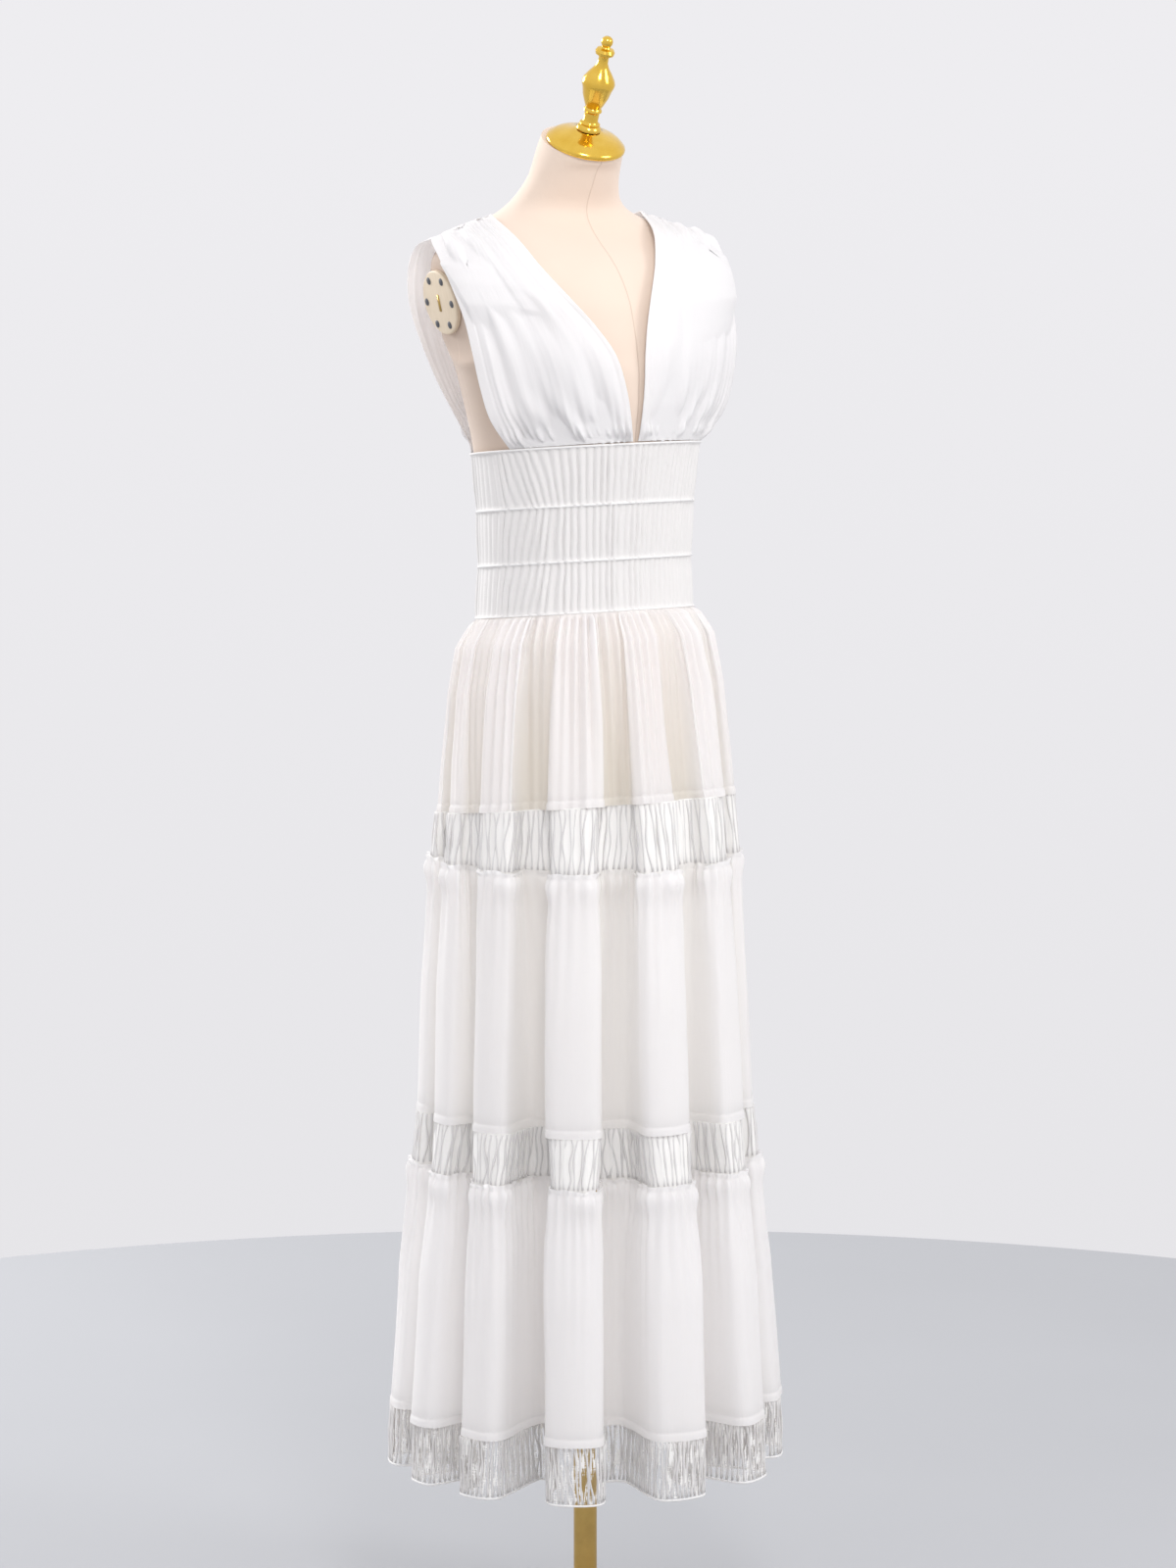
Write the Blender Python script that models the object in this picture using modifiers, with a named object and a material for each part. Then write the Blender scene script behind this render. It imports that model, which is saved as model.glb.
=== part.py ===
"""A sleeveless tiered maxi dress of white voile, shown on a limbless dress form with a pole stand.

Metres, +Z up. The origin is the middle of the base's underside. The front of the dress faces -Y.
The cloth is made of thin walls: a gathered bodice with a deep V, three shirred waist bands between
four cords, and three gathered tiers, each followed by a band of ladder lace.
"""

import math

import bmesh
import bpy
import numpy as np
from mathutils import Matrix, Vector

SEAM = 0.0003  # between two pieces that are sewn or rest together
CLOTH = 0.0012  # thickness of the voile
LACE = 0.0010
LAYER = 0.0006  # from the form's cover to the cloth on it

# Heights of the seams on the dress's own axis.
UNDER_BUST_Z = 1.283
UPPER_CORD_Z = 1.222
LOWER_CORD_Z = 1.164
WAIST_Z = 1.110
TIER_1_HEM_Z = 0.906
TIER_2_TOP_Z = 0.853
TIER_2_HEM_Z = 0.578
TIER_3_TOP_Z = 0.525
TIER_3_HEM_Z = 0.257
HEM_Z = 0.197

WAIST_RIBS = 84
RIB_HEIGHT = 0.0016
CORD_RADIUS = 0.0012
CORD_OUT = 0.0018  # from the band's inner side to a waist cord's middle
CORD_GAP = 0.0016  # from a seam's middle to the edge of the band beside its cord
WAIST_TILT = 0.12  # the seams rise towards the front by this share of the depth

FORM_SIDES = 32
FORM_FOOT_Z = 0.885
NECK_TILT = math.radians(23)
NECK_Z = 1.600
PLATE_TILT = math.radians(13)
PLATE_Z = 1.440
PLATE_X = 0.156
PLATE_Y = 0.022
PLATE_RADIUS = 0.034
PLATE_THICKNESS = 0.006
ARM_END_Z = (1.375, 1.505)  # the form is cut flat for the plates between these heights
PLATE_DOTS = 6
DOT_RING_RADIUS = 0.0265
DOT_RADIUS = 0.0042
DOT_DEPTH = 0.002
SLOT_SIZE = (0.0045, 0.018)

POLE_RADIUS = 0.0125
COLLAR_THICKNESS = 0.012
# Turned pieces of the stand: radius, height over the form's foot or over the floor.
COLLAR_PROFILE = ((0.0300, 0.0), (0.0300, -0.004), (0.0200, -COLLAR_THICKNESS))
BASE_THICKNESS = 0.010
BASE_PROFILE = ((0.144, 0.010), (0.150, 0.006), (0.150, 0.0))
HUB_TOP_Z = 0.060
HUB_PROFILE = ((0.0185, HUB_TOP_Z), (0.0200, 0.056), (0.0200, 0.034), (0.0300, 0.020))
HUB_FOOT_RADIUS = 0.034

# The form's cover: z, half width, half depth, how far its middle lies behind the pole.
FORM_SECTIONS = (
    (0.885, 0.118, 0.090, 0.0),
    (0.905, 0.128, 0.099, 0.0),
    (0.980, 0.133, 0.104, 0.0),
    (1.030, 0.132, 0.102, 0.0),
    (1.070, 0.125, 0.095, 0.0),
    (1.100, 0.1185, 0.0895, 0.0),
    (1.164, 0.1150, 0.0870, 0.0),
    (1.222, 0.1165, 0.0920, 0.0),
    (1.270, 0.1205, 0.0985, 0.0),
    (1.300, 0.1250, 0.1040, 0.0),
    (1.335, 0.133, 0.1110, 0.0),
    (1.370, 0.143, 0.1120, 0.0),
    (1.405, 0.162, 0.1060, 0.001),
    (1.440, 0.172, 0.0970, 0.004),
    (1.462, 0.172, 0.0880, 0.010),
    (1.480, 0.170, 0.0780, 0.018),
    (1.494, 0.158, 0.0680, 0.028),
    (1.502, 0.142, 0.0620, 0.035),
    (1.510, 0.122, 0.0580, 0.040),
    (1.518, 0.100, 0.0540, 0.045),
    (1.527, 0.078, 0.0500, 0.048),
    (1.540, 0.061, 0.0460, 0.043),
    (1.562, 0.050, 0.0450, 0.028),
    (1.585, 0.046, 0.0440, 0.014),
    (1.600, 0.043, 0.0400, 0.005),
)

# The skirt: z, half width and half depth over the folds, how deep the folds are.
SKIRT_SECTIONS = (
    (1.1100, 0.1213, 0.0926, 0.0009),
    (1.0800, 0.142, 0.1140, 0.0070),
    (1.0300, 0.153, 0.1260, 0.0120),
    (0.9600, 0.160, 0.1380, 0.0190),
    (0.9060, 0.163, 0.1480, 0.0240),
    (0.8530, 0.167, 0.1560, 0.0280),
    (0.7200, 0.176, 0.1720, 0.0460),
    (0.5780, 0.181, 0.1800, 0.0600),
    (0.5250, 0.186, 0.1860, 0.0660),
    (0.4100, 0.200, 0.2000, 0.0820),
    (0.2570, 0.211, 0.2110, 0.0960),
    (0.1970, 0.213, 0.2130, 0.1000),
)

# One row a fold, counted round from the right side over the front: the valley before it at the
# waist and at the hem, and how deep that valley is beside the others. Angles in degrees from +X.
SKIRT_FOLDS = (
    (-190, -188, 0.85),
    (-171, -166, 0.55),
    (-143, -140, 1.00),
    (-107, -106, 0.95),
    (-69, -74, 0.80),
    (-40, -44, 0.90),
    (-10, -10, 0.75),
    (20, 22, 1.00),
    (52, 54, 0.80),
    (84, 82, 0.95),
    (112, 114, 0.70),
    (142, 143, 0.90),
)
FOLD_SQUARE = 0.86  # 0 gives a plain wave, 1 a fold whose sides run straight in
# The widths that a band is cut in, each from one fold up to another, with seams in the valleys.
HALVES = (("front", 0, 6), ("back", 6, 12))
QUARTERS = (("front_right", 0, 3), ("front_left", 3, 6), ("back_left", 6, 9), ("back_right", 9, 12))
COLUMNS_PER_FOLD = 7
SEAM_SHARE = 0.003  # of a fold, left open at each seam between two widths

# The bodice, from the seam under the bust to the shoulder. Each row holds the neck edge's x, y and
# z on the right side, the same on the left, the armhole edge's, and how far the cloth stands out.
FRONT_LEVELS = (
    (0.004, -0.1068, 1.2976, 0.002, -0.1068, 1.2976, 0.113, -0.043, 1.2862, 0.004),
    (0.011, -0.1140, 1.3250, 0.0025, -0.1140, 1.3250, 0.141, -0.049, 1.3200, 0.012),
    (0.019, -0.1180, 1.3550, 0.003, -0.1180, 1.3550, 0.153, -0.048, 1.3550, 0.016),
    (0.031, -0.1180, 1.3880, 0.004, -0.1180, 1.3880, 0.160, -0.044, 1.3920, 0.017),
    (0.051, -0.1110, 1.4180, 0.010, -0.1120, 1.4180, 0.163, -0.033, 1.4240, 0.014),
    (0.075, -0.0980, 1.4480, 0.021, -0.1010, 1.4480, 0.168, -0.018, 1.4540, 0.009),
    (0.090, -0.0660, 1.4780, 0.044, -0.0700, 1.4800, 0.171, 0.002, 1.4820, 0.006),
    (0.094, -0.0230, 1.5060, 0.066, -0.0290, 1.5100, 0.171, 0.020, 1.5000, 0.003),
    (0.090, 0.0420, 1.5290, 0.092, 0.0420, 1.5290, 0.165, 0.034, 1.5050, 0.000),
)
BACK_LEVELS = (
    (0.001, 0.0985, 1.2730, 0.001, 0.0985, 1.2730, 0.108, 0.052, 1.2855, 0.004),
    (0.001, 0.1100, 1.3100, 0.001, 0.1100, 1.3100, 0.123, 0.064, 1.3200, 0.014),
    (0.001, 0.1180, 1.3450, 0.001, 0.1180, 1.3450, 0.138, 0.074, 1.3550, 0.016),
    (0.001, 0.1180, 1.3850, 0.001, 0.1180, 1.3850, 0.152, 0.080, 1.3920, 0.018),
    (0.014, 0.1140, 1.4200, 0.012, 0.1140, 1.4200, 0.164, 0.080, 1.4240, 0.015),
    (0.038, 0.1090, 1.4550, 0.034, 0.1090, 1.4550, 0.171, 0.076, 1.4520, 0.010),
    (0.062, 0.1010, 1.4860, 0.060, 0.1010, 1.4860, 0.173, 0.068, 1.4800, 0.006),
    (0.083, 0.0860, 1.5160, 0.083, 0.0860, 1.5160, 0.171, 0.054, 1.4980, 0.003),
    (0.090, 0.0434, 1.5290, 0.092, 0.0434, 1.5290, 0.165, 0.0354, 1.5050, 0.000),
)
BODICE_PLEATS = 5
BODICE_COLUMNS = 15
BODICE_ROWS = 9
PLEAT_HEIGHT = 0.0022
PLEAT_RISE = 6  # how steeply the pleats rise from a piece's two edges
PLEAT_SPREAD = 0.8  # below 1 the pleats fade slowly from both seams, above 1 quickly
BODICE_EASE = 0.0016
SHOULDER_EASE = 0.0060
EASE_AT = (0.2, 0.6, 0.95, 1.0)  # shares of the way up where the ease changes between the two
SHOULDER_Z = 1.483
LIFT = 0.0004  # one step of a point that is moved up off the shoulder

# The turned finial on the neck cap: radius, height over the cap's underside.
FINIAL_PROFILE = (
    (0.0130, 0.0175),
    (0.0130, 0.0205),
    (0.0090, 0.0240),
    (0.0080, 0.0380),
    (0.0100, 0.0480),
    (0.0165, 0.0600),
    (0.0175, 0.0670),
    (0.0155, 0.0750),
    (0.0090, 0.0860),
    (0.0055, 0.0920),
    (0.0055, 0.0995),
    (0.0103, 0.1015),
    (0.0103, 0.1070),
    (0.0040, 0.1100),
    (0.0064, 0.1155),
    (0.0042, 0.1205),
)
FINIAL_TOP = 0.1220
CAP_PROFILE = ((0.0420, 0.0), (0.0420, 0.0030), (0.0370, 0.0090), (0.0260, 0.0140), (0.0140, 0.0168))
CAP_TOP = 0.0172
TURNED_STEPS = 16


def start():
    for old in list(bpy.data.objects):
        bpy.data.objects.remove(old, do_unlink=True)
    made = []
    for name in ("maxi dress", "cutters"):
        collection = bpy.data.collections.new(name)
        bpy.context.scene.collection.children.link(collection)
        made.append(collection)
    made[1].hide_render = True
    return made


PARTS, CUTTERS = start()


def material(name, colour, roughness, metallic=0.0):
    mat = bpy.data.materials.new(name)
    mat.use_nodes = True
    shader = mat.node_tree.nodes["Principled BSDF"]
    shader.inputs["Base Color"].default_value = (*colour, 1.0)
    shader.inputs["Roughness"].default_value = roughness
    shader.inputs["Metallic"].default_value = metallic
    return mat


VOILE = material("white voile", (0.92, 0.91, 0.90), 0.85)
THREAD = material("white thread", (0.88, 0.87, 0.84), 0.80)
COVER = material("form cover", (0.86, 0.72, 0.60), 0.90)
GOLD = material("gold", (0.85, 0.62, 0.22), 0.25, 1.0)
BRASS = material("aged brass", (0.45, 0.34, 0.17), 0.40, 1.0)
PLATE = material("arm plate", (0.70, 0.60, 0.46), 0.60)


def placed(name, mesh, mat, collection=PARTS):
    made = bpy.data.objects.new(name, mesh)
    collection.objects.link(made)
    mesh.materials.clear()
    mesh.materials.append(mat)
    return made


def mesh_of(name, points, faces):
    mesh = bpy.data.meshes.new(name)
    mesh.from_pydata([tuple(p) for p in points], [], faces)
    return mesh


def strip_faces(columns, rows, closed, first=0, turned=False):
    """Quads between rows of points that run anticlockwise, each row lower than the one before."""
    faces = []
    for r in range(rows - 1):
        for c in range(columns if closed else columns - 1):
            after = (c + 1) % columns
            a, b = first + r * columns + c, first + r * columns + after
            face = (a, a + columns, b + columns, b)
            faces.append(face[::-1] if turned else face)
    return faces


def shell(name, rows, thickness, mat):
    """An open sheet of cloth, its rows from the top down and its outer side as given."""
    columns = len(rows[0])
    mesh = mesh_of(name, [p for row in rows for p in row], strip_faces(columns, len(rows), False))
    made = placed(name, mesh, mat)
    wall = made.modifiers.new("wall", "SOLIDIFY")
    wall.thickness = thickness
    wall.offset = -1.0
    return made


def ribbed_tube(name, outer, inner, mat):
    """A closed wall round the form; its outer rows hold several points for each inner one."""
    many, few = len(outer[0]), len(inner[0])
    ribs = many // few
    points = [p for row in (*outer, *inner) for p in row]
    inside = 2 * many
    faces = strip_faces(many, 2, True) + strip_faces(few, 2, True, inside, True)
    for c in range(few):
        here, after = inside + c, inside + (c + 1) % few
        rim = [(c * ribs + n) % many for n in range(ribs + 1)]
        faces.append((*rim, after, here))
        faces.append((*(many + n for n in reversed(rim)), few + here, few + after))
    return placed(name, mesh_of(name, points, faces), mat)


def column(table, n):
    return [row[n] for row in table]


def arm_end(z):
    """How far out the form reaches at its flat, slanted arm ends."""
    if not ARM_END_Z[0] < z < ARM_END_Z[1]:
        return math.inf
    return PLATE_X + (z - PLATE_Z) * math.tan(PLATE_TILT)


def form_section(z):
    """The form's half width, half depth and middle at this height."""
    return [float(np.interp(z, column(FORM_SECTIONS, 0), column(FORM_SECTIONS, n))) for n in (1, 2, 3)]


def form_radius(angle, z):
    """How far the form's cover is from its own middle."""
    wide, deep, _ = form_section(z)
    radius = 1.0 / math.hypot(math.cos(angle) / wide, math.sin(angle) / deep)
    across = abs(math.cos(angle))
    return min(radius, arm_end(z) / across) if across > 0.01 else radius


def tilted(angle, z, radius):
    """The height on a waist seam at this angle."""
    return z - WAIST_TILT * radius * math.sin(angle)


def waist_ring(z, columns, grow):
    """Points round the form at a waist seam's height, grow(n) outside its cover."""
    ring = []
    for n in range(columns):
        angle = 2 * math.pi * n / columns
        height = tilted(angle, z, form_radius(angle, z))
        radius = form_radius(angle, height) + LAYER + grow(n)
        ring.append((radius * math.cos(angle), radius * math.sin(angle), height))
    return ring


def waist_band(name, top, bottom):
    edges = (top - CORD_GAP, bottom + CORD_GAP)
    outer = [waist_ring(z, 2 * WAIST_RIBS, lambda n: CLOTH + RIB_HEIGHT * (n % 2)) for z in edges]
    inner = [waist_ring(z, WAIST_RIBS // 2, lambda n: 0.0) for z in edges]
    return ribbed_tube(name, outer, inner, VOILE)


def cord_ring(name, points, radius, mat):
    curve = bpy.data.curves.new(name, "CURVE")
    curve.dimensions = "3D"
    curve.bevel_depth = radius
    curve.bevel_resolution = 0
    spline = curve.splines.new("POLY")
    spline.points.add(len(points) - 1)
    for knot, p in zip(spline.points, points):
        knot.co = (*p, 1.0)
    spline.use_cyclic_u = True
    made = bpy.data.objects.new(name, curve)
    PARTS.objects.link(made)
    curve.materials.append(mat)
    return made


def waist_cord(name, z):
    ring = waist_ring(z, WAIST_RIBS // 2, lambda n: CORD_OUT)
    return cord_ring(name, ring, CORD_RADIUS, THREAD)


def fold_place(turn, drop):
    """The angle and the depth share at a place counted in folds; drop is 0 at the waist, 1 at the hem."""
    count = len(SKIRT_FOLDS)
    n = math.floor(turn)
    along = turn - n
    here, after = SKIRT_FOLDS[n % count], SKIRT_FOLDS[(n + 1) % count]
    whole = 360 * (n // count)
    start_at = here[0] + (here[1] - here[0]) * drop + whole
    end_at = after[0] + (after[1] - after[0]) * drop + whole + (360 if (n + 1) % count == 0 else 0)
    eased = along + FOLD_SQUARE * math.sin(4 * math.pi * along) / (4 * math.pi)
    wave = 0.5 + 0.5 * math.cos(2 * math.pi * along)
    depth = here[2] if along < 0.5 else after[2]
    return math.radians(start_at + (end_at - start_at) * eased), depth * wave


def skirt_point(turn, z):
    """A point of the skirt's outer side."""
    drop = (WAIST_Z - z) / (WAIST_Z - HEM_Z)
    angle, inward = fold_place(turn, drop)
    heights = column(SKIRT_SECTIONS, 0)[::-1]
    wide, deep, depth = (np.interp(z, heights, column(SKIRT_SECTIONS, n)[::-1]) for n in (1, 2, 3))
    radius = 1.0 / math.hypot(math.cos(angle) / wide, math.sin(angle) / deep) - inward * depth
    level = np.interp(z, (TIER_2_TOP_Z, TIER_1_HEM_Z), (0.0, 1.0))
    x, y = radius * math.cos(angle), radius * math.sin(angle)
    return x, y, z - level * WAIST_TILT * y


def skirt_panel(name, first, last, top, bottom, rows, thickness, mat):
    steps = (last - first) * COLUMNS_PER_FOLD
    turns = [first + n / COLUMNS_PER_FOLD for n in range(steps + 1)]
    turns[0] += SEAM_SHARE
    turns[-1] -= SEAM_SHARE
    heights = np.linspace(top, bottom, rows + 1)
    return shell(name, [[skirt_point(t, z) for t in turns] for z in heights], thickness, mat)


def skirt():
    bands = (
        ("skirt_tier_top", WAIST_Z - CORD_RADIUS, TIER_1_HEM_Z, 4, CLOTH, VOILE, HALVES),
        ("lace_upper", TIER_1_HEM_Z, TIER_2_TOP_Z, 1, LACE, THREAD, HALVES),
        ("skirt_tier_middle", TIER_2_TOP_Z, TIER_2_HEM_Z, 3, CLOTH, VOILE, QUARTERS),
        ("lace_middle", TIER_2_HEM_Z, TIER_3_TOP_Z, 1, LACE, THREAD, HALVES),
        ("skirt_tier_lower", TIER_3_TOP_Z, TIER_3_HEM_Z, 3, CLOTH, VOILE, QUARTERS),
        ("lace_hem", TIER_3_HEM_Z, HEM_Z, 1, LACE, THREAD, HALVES),
    )
    for name, top, bottom, rows, thickness, mat, widths in bands:
        for side, first, last in widths:
            skirt_panel(f"{name}_{side}", first, last, top - SEAM, bottom + SEAM, rows, thickness, mat)
    turns = np.arange(0, len(SKIRT_FOLDS), 1 / COLUMNS_PER_FOLD)
    hem = [skirt_point(t, HEM_Z) for t in turns]
    drop = Vector((0, 0, -CORD_RADIUS - SEAM))
    cord_ring("hem_cord", [Vector(p) + drop for p in hem], CORD_RADIUS, THREAD)


def level_at(levels, up, n):
    return float(np.interp(up, np.linspace(0, 1, len(levels)), column(levels, n)))


def clear_of_form(place, keep):
    """Moves a point of the cloth off the form: upwards on the shoulders, outwards below them."""
    while True:
        middle = form_section(place.z)[2]
        angle = math.atan2(place.y - middle, place.x)
        radius = math.hypot(place.x, place.y - middle)
        least = form_radius(angle, place.z) + keep
        if radius >= least:
            return place
        if place.z <= SHOULDER_Z:
            return Vector((least * math.cos(angle), middle + least * math.sin(angle), place.z))
        place = place + Vector((0, 0, LIFT))


def sewn_point(place, pleat):
    """The point of the seam under the bust that lies below this one."""
    cover = form_radius(math.atan2(place.y, place.x), place.z)
    radius = cover + LAYER + CLOTH + (PLEAT_HEIGHT + pleat) / 2
    x, y = place.xy.normalized() * radius
    return Vector((x, y, UNDER_BUST_Z - WAIST_TILT * y + CORD_GAP))


def bodice_point(levels, side, across, up):
    """A point of a bodice piece: across from the neck edge to the armhole, up from the lower seam."""
    row = [level_at(levels, up, n) for n in range(10)]
    mirror = Vector((side, 1, 1))
    neck = Vector(row[0:3] if side < 0 else row[3:6]) * mirror
    arm = Vector(row[6:9]) * mirror
    place = neck.lerp(arm, across)
    outward = Vector((place.x, place.y, 0)).normalized()
    edge = min(1.0, PLEAT_RISE * across * (1 - across))
    gathered = abs(2 * up - 1) ** PLEAT_SPREAD
    pleat = edge * PLEAT_HEIGHT * gathered * math.cos(2 * math.pi * BODICE_PLEATS * across)
    if up == 0:
        return sewn_point(place, pleat)
    place += outward * (4 * row[9] * across * (1 - across) + pleat)
    ease = float(np.interp(up, EASE_AT, (BODICE_EASE, SHOULDER_EASE, SHOULDER_EASE, BODICE_EASE)))
    return clear_of_form(place, LAYER + CLOTH + ease)


def bodice_piece(name, levels, side):
    across = np.linspace(0, 1, BODICE_COLUMNS + 1)
    up = np.linspace(1, 0, BODICE_ROWS + 1)
    front = levels is FRONT_LEVELS
    if (side > 0) != front:
        across = across[::-1]
    shell(name, [[bodice_point(levels, side, a, u) for a in across] for u in up], CLOTH, VOILE)


def torso():
    columns = [2 * math.pi * n / FORM_SIDES for n in range(FORM_SIDES)]
    points = []
    for z, _, _, middle in reversed(FORM_SECTIONS):
        for angle in columns:
            radius = form_radius(angle, z)
            y = middle + radius * math.sin(angle)
            lean = math.tan(NECK_TILT) * y if z == NECK_Z else 0.0
            points.append((radius * math.cos(angle), y, z + lean))
    rows = len(FORM_SECTIONS)
    faces = strip_faces(FORM_SIDES, rows, True)
    faces.append(tuple(range(FORM_SIDES)))
    last = FORM_SIDES * (rows - 1)
    faces.append(tuple(last + n for n in reversed(range(FORM_SIDES))))
    mesh = mesh_of("form_torso", points, faces)
    mesh.shade_smooth()
    return placed("form_torso", mesh, COVER)


def turned(name, profile, mat, steps=TURNED_STEPS):
    """A turned piece: the profile's radius and height, from its top down its outer side."""
    mesh = mesh_of(name, [(r, 0, z) for r, z in profile], [])
    mesh.edges.add(len(profile) - 1)
    for n, edge in enumerate(mesh.edges):
        edge.vertices = (n, n + 1)
    made = placed(name, mesh, mat)
    spin = made.modifiers.new("turned", "SCREW")
    spin.axis = "Z"
    spin.steps = spin.render_steps = steps
    spin.use_merge_vertices = True
    spin.merge_threshold = 0.00005
    return made


def neck_cap_and_finial():
    seat = Vector((0, 0, NECK_Z))
    up = Matrix.Rotation(NECK_TILT, 3, "X") @ Vector((0, 0, 1))
    cap = turned("neck_cap", [(0, CAP_TOP), *CAP_PROFILE[::-1], (0, 0)], GOLD)
    profile = [(0, FINIAL_TOP), *FINIAL_PROFILE[::-1], (0, FINIAL_PROFILE[0][1])]
    finial = turned("finial", profile, GOLD)
    for made, gap in ((cap, SEAM), (finial, 2 * SEAM)):
        made.rotation_euler.x = NECK_TILT
        made.location = seat + up * gap


def disc(name, radius, depth, sides, collection=PARTS, mat=PLATE):
    """A round plate whose axis is its own Z, standing on its own origin."""
    mesh = bpy.data.meshes.new(name)
    shape = bmesh.new()
    bmesh.ops.create_cone(
        shape, cap_ends=True, segments=sides, radius1=radius, radius2=radius, depth=depth,
        matrix=Matrix.Translation((0, 0, depth / 2)),
    )
    shape.to_mesh(mesh)
    shape.free()
    return placed(name, mesh, mat, collection)


def cut(body, cutter):
    cutter.hide_render = True
    cutter.display_type = "WIRE"
    cutting = body.modifiers.new(cutter.name, "BOOLEAN")
    cutting.operation = "DIFFERENCE"
    cutting.object = cutter


def arm_plate(name, side):
    """A plate on the form's flat arm end, with a slot and a ring of dots sunk in its face."""
    out = Matrix.Rotation(side * (math.pi / 2 + PLATE_TILT), 4, "Y")
    seat = Vector((side * (PLATE_X + SEAM / math.cos(PLATE_TILT)), PLATE_Y, PLATE_Z))
    place = Matrix.Translation(seat) @ out
    plate = disc(name, PLATE_RADIUS, PLATE_THICKNESS, 32)
    plate.matrix_world = place
    for n in range(PLATE_DOTS):
        angle = 2 * math.pi * (n + 0.5) / PLATE_DOTS
        dot = disc(f"{name}_dot_{n}", DOT_RADIUS, 2 * DOT_DEPTH, 8, CUTTERS)
        x, y = DOT_RING_RADIUS * math.cos(angle), DOT_RING_RADIUS * math.sin(angle)
        dot.matrix_world = place @ Matrix.Translation((x, y, PLATE_THICKNESS - DOT_DEPTH))
        cut(plate, dot)
    slot = disc(f"{name}_slot", SLOT_SIZE[1] / 2, 2 * DOT_DEPTH, 12, CUTTERS)
    slot.data.transform(Matrix.Diagonal((1, SLOT_SIZE[0] / SLOT_SIZE[1], 1, 1)))
    slot.matrix_world = place @ Matrix.Translation((0, 0, PLATE_THICKNESS - DOT_DEPTH))
    cut(plate, slot)


def stand():
    foot = FORM_FOOT_Z - SEAM
    under_collar = foot - COLLAR_THICKNESS
    collar = [(radius, foot + height) for radius, height in COLLAR_PROFILE]
    turned("form_collar", [(0, foot), *collar, (0, under_collar)], BRASS)
    ends = (under_collar - SEAM, HUB_TOP_Z + SEAM)
    turned("pole", [(0, ends[0]), (POLE_RADIUS, ends[0]), (POLE_RADIUS, ends[1]), (0, ends[1])], BRASS)
    hub_foot = BASE_THICKNESS + SEAM
    turned("base_hub", [(0, HUB_TOP_Z), *HUB_PROFILE, (HUB_FOOT_RADIUS, hub_foot), (0, hub_foot)], BRASS)
    turned("base_plate", [(0, BASE_THICKNESS), *BASE_PROFILE, (0, 0)], BRASS, FORM_SIDES)


def dress():
    for side, word in ((-1, "right"), (1, "left")):
        bodice_piece(f"bodice_front_{word}", FRONT_LEVELS, side)
        bodice_piece(f"bodice_back_{word}", BACK_LEVELS, side)
    waist_band("waist_band_top", UNDER_BUST_Z, UPPER_CORD_Z)
    waist_band("waist_band_middle", UPPER_CORD_Z, LOWER_CORD_Z)
    waist_band("waist_band_bottom", LOWER_CORD_Z, WAIST_Z)
    waist_cord("waist_cord_1", UNDER_BUST_Z)
    waist_cord("waist_cord_2", UPPER_CORD_Z)
    waist_cord("waist_cord_3", LOWER_CORD_Z)
    waist_cord("waist_cord_4", WAIST_Z)
    skirt()


def form():
    torso()
    neck_cap_and_finial()
    arm_plate("arm_plate_right", -1)
    arm_plate("arm_plate_left", 1)
    stand()


dress()
form()
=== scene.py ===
"""The looks of a white tiered maxi dress on a dress form stand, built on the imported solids.

Metres, +Z up, the pole on the Z axis. The front of the dress faces -Y. Every piece of cloth is a
thin wall that follows its solid, with the gathers, pleats and shirring worked out along the cloth.
"""

import math

import bmesh
import bpy
import numpy as np
from mathutils import Matrix, Vector


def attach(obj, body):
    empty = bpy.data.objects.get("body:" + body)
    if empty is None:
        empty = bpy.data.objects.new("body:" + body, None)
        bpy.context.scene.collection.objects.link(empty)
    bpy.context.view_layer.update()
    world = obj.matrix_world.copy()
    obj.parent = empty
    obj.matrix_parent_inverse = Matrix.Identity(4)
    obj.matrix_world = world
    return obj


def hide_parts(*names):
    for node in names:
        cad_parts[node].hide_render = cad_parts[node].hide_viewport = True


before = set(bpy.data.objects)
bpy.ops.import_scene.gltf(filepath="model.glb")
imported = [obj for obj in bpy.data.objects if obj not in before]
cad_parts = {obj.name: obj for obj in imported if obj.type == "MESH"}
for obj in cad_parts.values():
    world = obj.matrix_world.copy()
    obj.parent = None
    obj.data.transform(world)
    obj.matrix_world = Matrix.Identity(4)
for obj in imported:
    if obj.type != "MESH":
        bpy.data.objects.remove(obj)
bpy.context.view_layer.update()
SEED = 7

# Heights of the seams, as in the solids.
UNDER_BUST_Z = 1.283
UPPER_CORD_Z = 1.222
LOWER_CORD_Z = 1.164
WAIST_Z = 1.110
TIER_1_HEM_Z = 0.906
TIER_2_TOP_Z = 0.853
TIER_2_HEM_Z = 0.578
TIER_3_TOP_Z = 0.525
TIER_3_HEM_Z = 0.257
HEM_Z = 0.197

LAYER = 0.0006
CLOTH = 0.0008
WAIST_TILT = 0.12
WAIST_RIBS = 84
CORD_RADIUS = 0.0012
CORD_OUT = 0.0018
CORD_PROUD = 0.0013
CORD_GAP = 0.0016
CORD_COLUMNS = 240
HEM_COLUMNS = 1600

NECK_TILT = math.radians(23)
NECK_Z = 1.600
PLATE_TILT = math.radians(13)
PLATE_Z = 1.440
PLATE_X = 0.156
PLATE_Y = 0.022
PLATE_RADIUS = 0.034
PLATE_THICKNESS = 0.006
ARM_END_Z = (1.375, 1.505)
NO_LIMIT = 9.0
STUDS = 6
DOT_RING = 0.0265
SLOT_SIZE = (0.018, 0.0045, 0.0014)
FORM_FOOT_Z = 0.885
POLE_RADIUS = 0.0125
SEAM = 0.0003

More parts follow.
